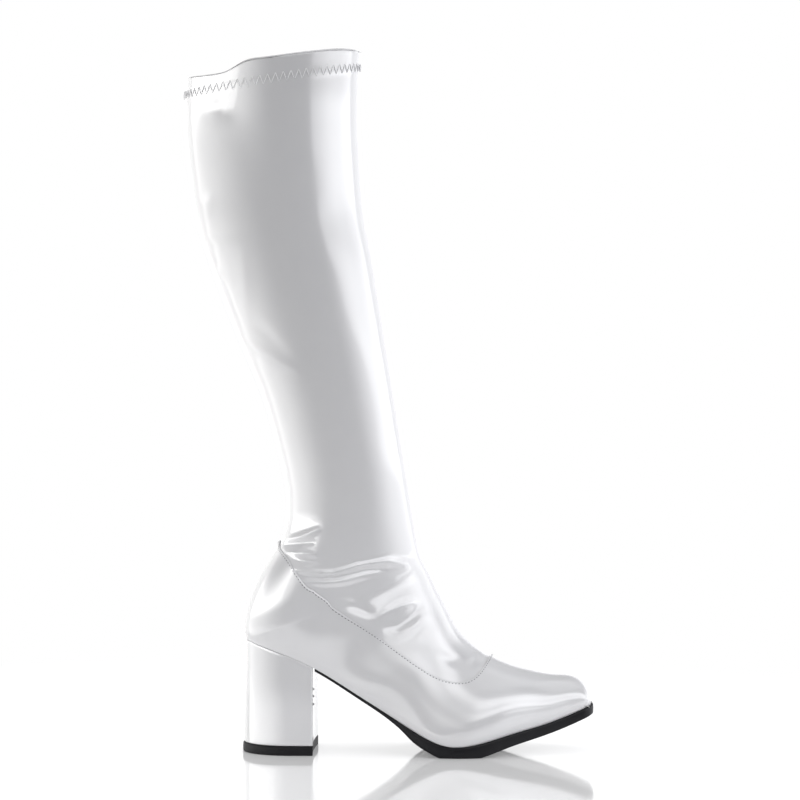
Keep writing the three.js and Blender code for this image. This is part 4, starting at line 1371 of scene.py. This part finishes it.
# %% World
# brightness, left and right with their softness, bottom and top with their softness (degrees)
WINDOWS = [
    ("left_soft", 1.8, -118, 3, -50, 36, -38, 5, 14, 4),
    ("left_high", 2.1, -118, 3, -18, 20, 3.6, 3.2, 16, 4),
    ("left_lamp", 1.6, -118, 3, -37, 2, 6.3, 0.7, 20, 4),
    ("right_soft", 2.2, 55, 23, 116, 5, -14, 5, 36, 8),
    ("right_lamp", 1.3, 44, 4, 116, 5, 5.8, 1, 10, 3),
    ("front_high", 0.45, -70, 12, 70, 12, 24, 6, 58, 4),
    ("right_high", 2.0, 4, 10, 72, 12, 30, 6, 46, 5),
    ("vamp_side", 2.2, 0, 18, 70, 12, 15, 4, 27, 5),
    ("back_left", 1.1, -400, 1, -116, 8, -28, 6, 26, 6),
    ("back_right", 1.1, 116, 8, 400, 1, -28, 6, 26, 6),
    ("top", 0.7, -400, 1, 400, 1, 58, 4, 100, 1),
]
ROOM_FRONT = 0.03
ROOM_BACK = 0.6
LEFT_TINT = (0.80, 0.797, 0.787, 1)
RIGHT_TINT = (0.782, 0.785, 0.80, 1)


def add_band(tree, value, low, low_soft, high, high_soft, bright):
    """Bright between two soft edges, and nothing outside them."""
    opens = add_edge(tree, value, low, low_soft, 0, bright)
    return add_math(tree, "MULTIPLY", opens, add_edge(tree, value, high, high_soft, 1, 0))


def make_world():
    world = bpy.data.worlds.new("studio_room")
    bpy.context.scene.world = world
    world.use_nodes = True
    tree = world.node_tree
    nodes = tree.nodes
    nodes.clear()
    split = nodes.new("ShaderNodeSeparateXYZ")
    fill(tree, split, {0: nodes.new("ShaderNodeTexCoord").outputs["Generated"]})
    x, y, z = split.outputs
    turned = add_math(tree, "ARCTAN2", x, add_math(tree, "MULTIPLY", y, -1.0))
    across = add_math(tree, "MULTIPLY", turned, 180 / math.pi)
    up = add_math(tree, "MULTIPLY", add_math(tree, "ARCSINE", z), 180 / math.pi)
    total = add_edge(tree, y, 0.15, 0.35, ROOM_FRONT, ROOM_BACK)
    for _, bright, left, left_soft, right, right_soft, low, low_soft, high, high_soft in WINDOWS:
        wide = add_band(tree, across, left, left_soft, right, right_soft, bright)
        tall = add_band(tree, up, low, low_soft, high, high_soft, 1)
        total = add_math(tree, "ADD", total, add_math(tree, "MULTIPLY", wide, tall))
    tint = mix_colors(tree, add_edge(tree, x, 0.0, 0.5, 0, 1), LEFT_TINT, RIGHT_TINT)
    lit = fill(tree, nodes.new("ShaderNodeBackground"), {"Strength": total, "Color": tint})
    seen = fill(tree, nodes.new("ShaderNodeBackground"), {"Color": WHITE})
    camera_ray = nodes.new("ShaderNodeLightPath").outputs["Is Camera Ray"]
    whole = mix_shaders(tree, camera_ray, lit.outputs[0], seen.outputs[0])
    fill(tree, nodes.new("ShaderNodeOutputWorld"), {"Surface": whole})


make_world()
print("windows of light:", [window[0] for window in WINDOWS])

# %% [markdown]
# Camera
# The photograph was taken square on from the outer side, level with the middle of the shaft and
# from well back. One pixel of it is 0.68 mm at the middle of the boot.

# %% Camera
PIXEL_MM = 0.68
PICTURE = 800
SENSOR = 36.0
CAMERA_X = 81.6
CAMERA_Z = 237.8
CAMERA_FAR = 1700.0


def make_camera():
    data = bpy.data.cameras.new("camera")
    data.sensor_width = SENSOR
    data.lens = SENSOR * CAMERA_FAR / (PICTURE * PIXEL_MM)
    camera = bpy.data.objects.new("camera", data)
    bpy.context.scene.collection.objects.link(camera)
    camera.location = (CAMERA_X * MM, -CAMERA_FAR * MM, CAMERA_Z * MM)
    camera.rotation_euler = (math.pi / 2, 0, 0)
    bpy.context.scene.camera = camera
    return camera


camera = make_camera()
bpy.context.scene.view_settings.view_transform = "Standard"
print("lens, mm:", round(camera.data.lens, 1))

# %% Update of the scene
bpy.context.view_layer.update()
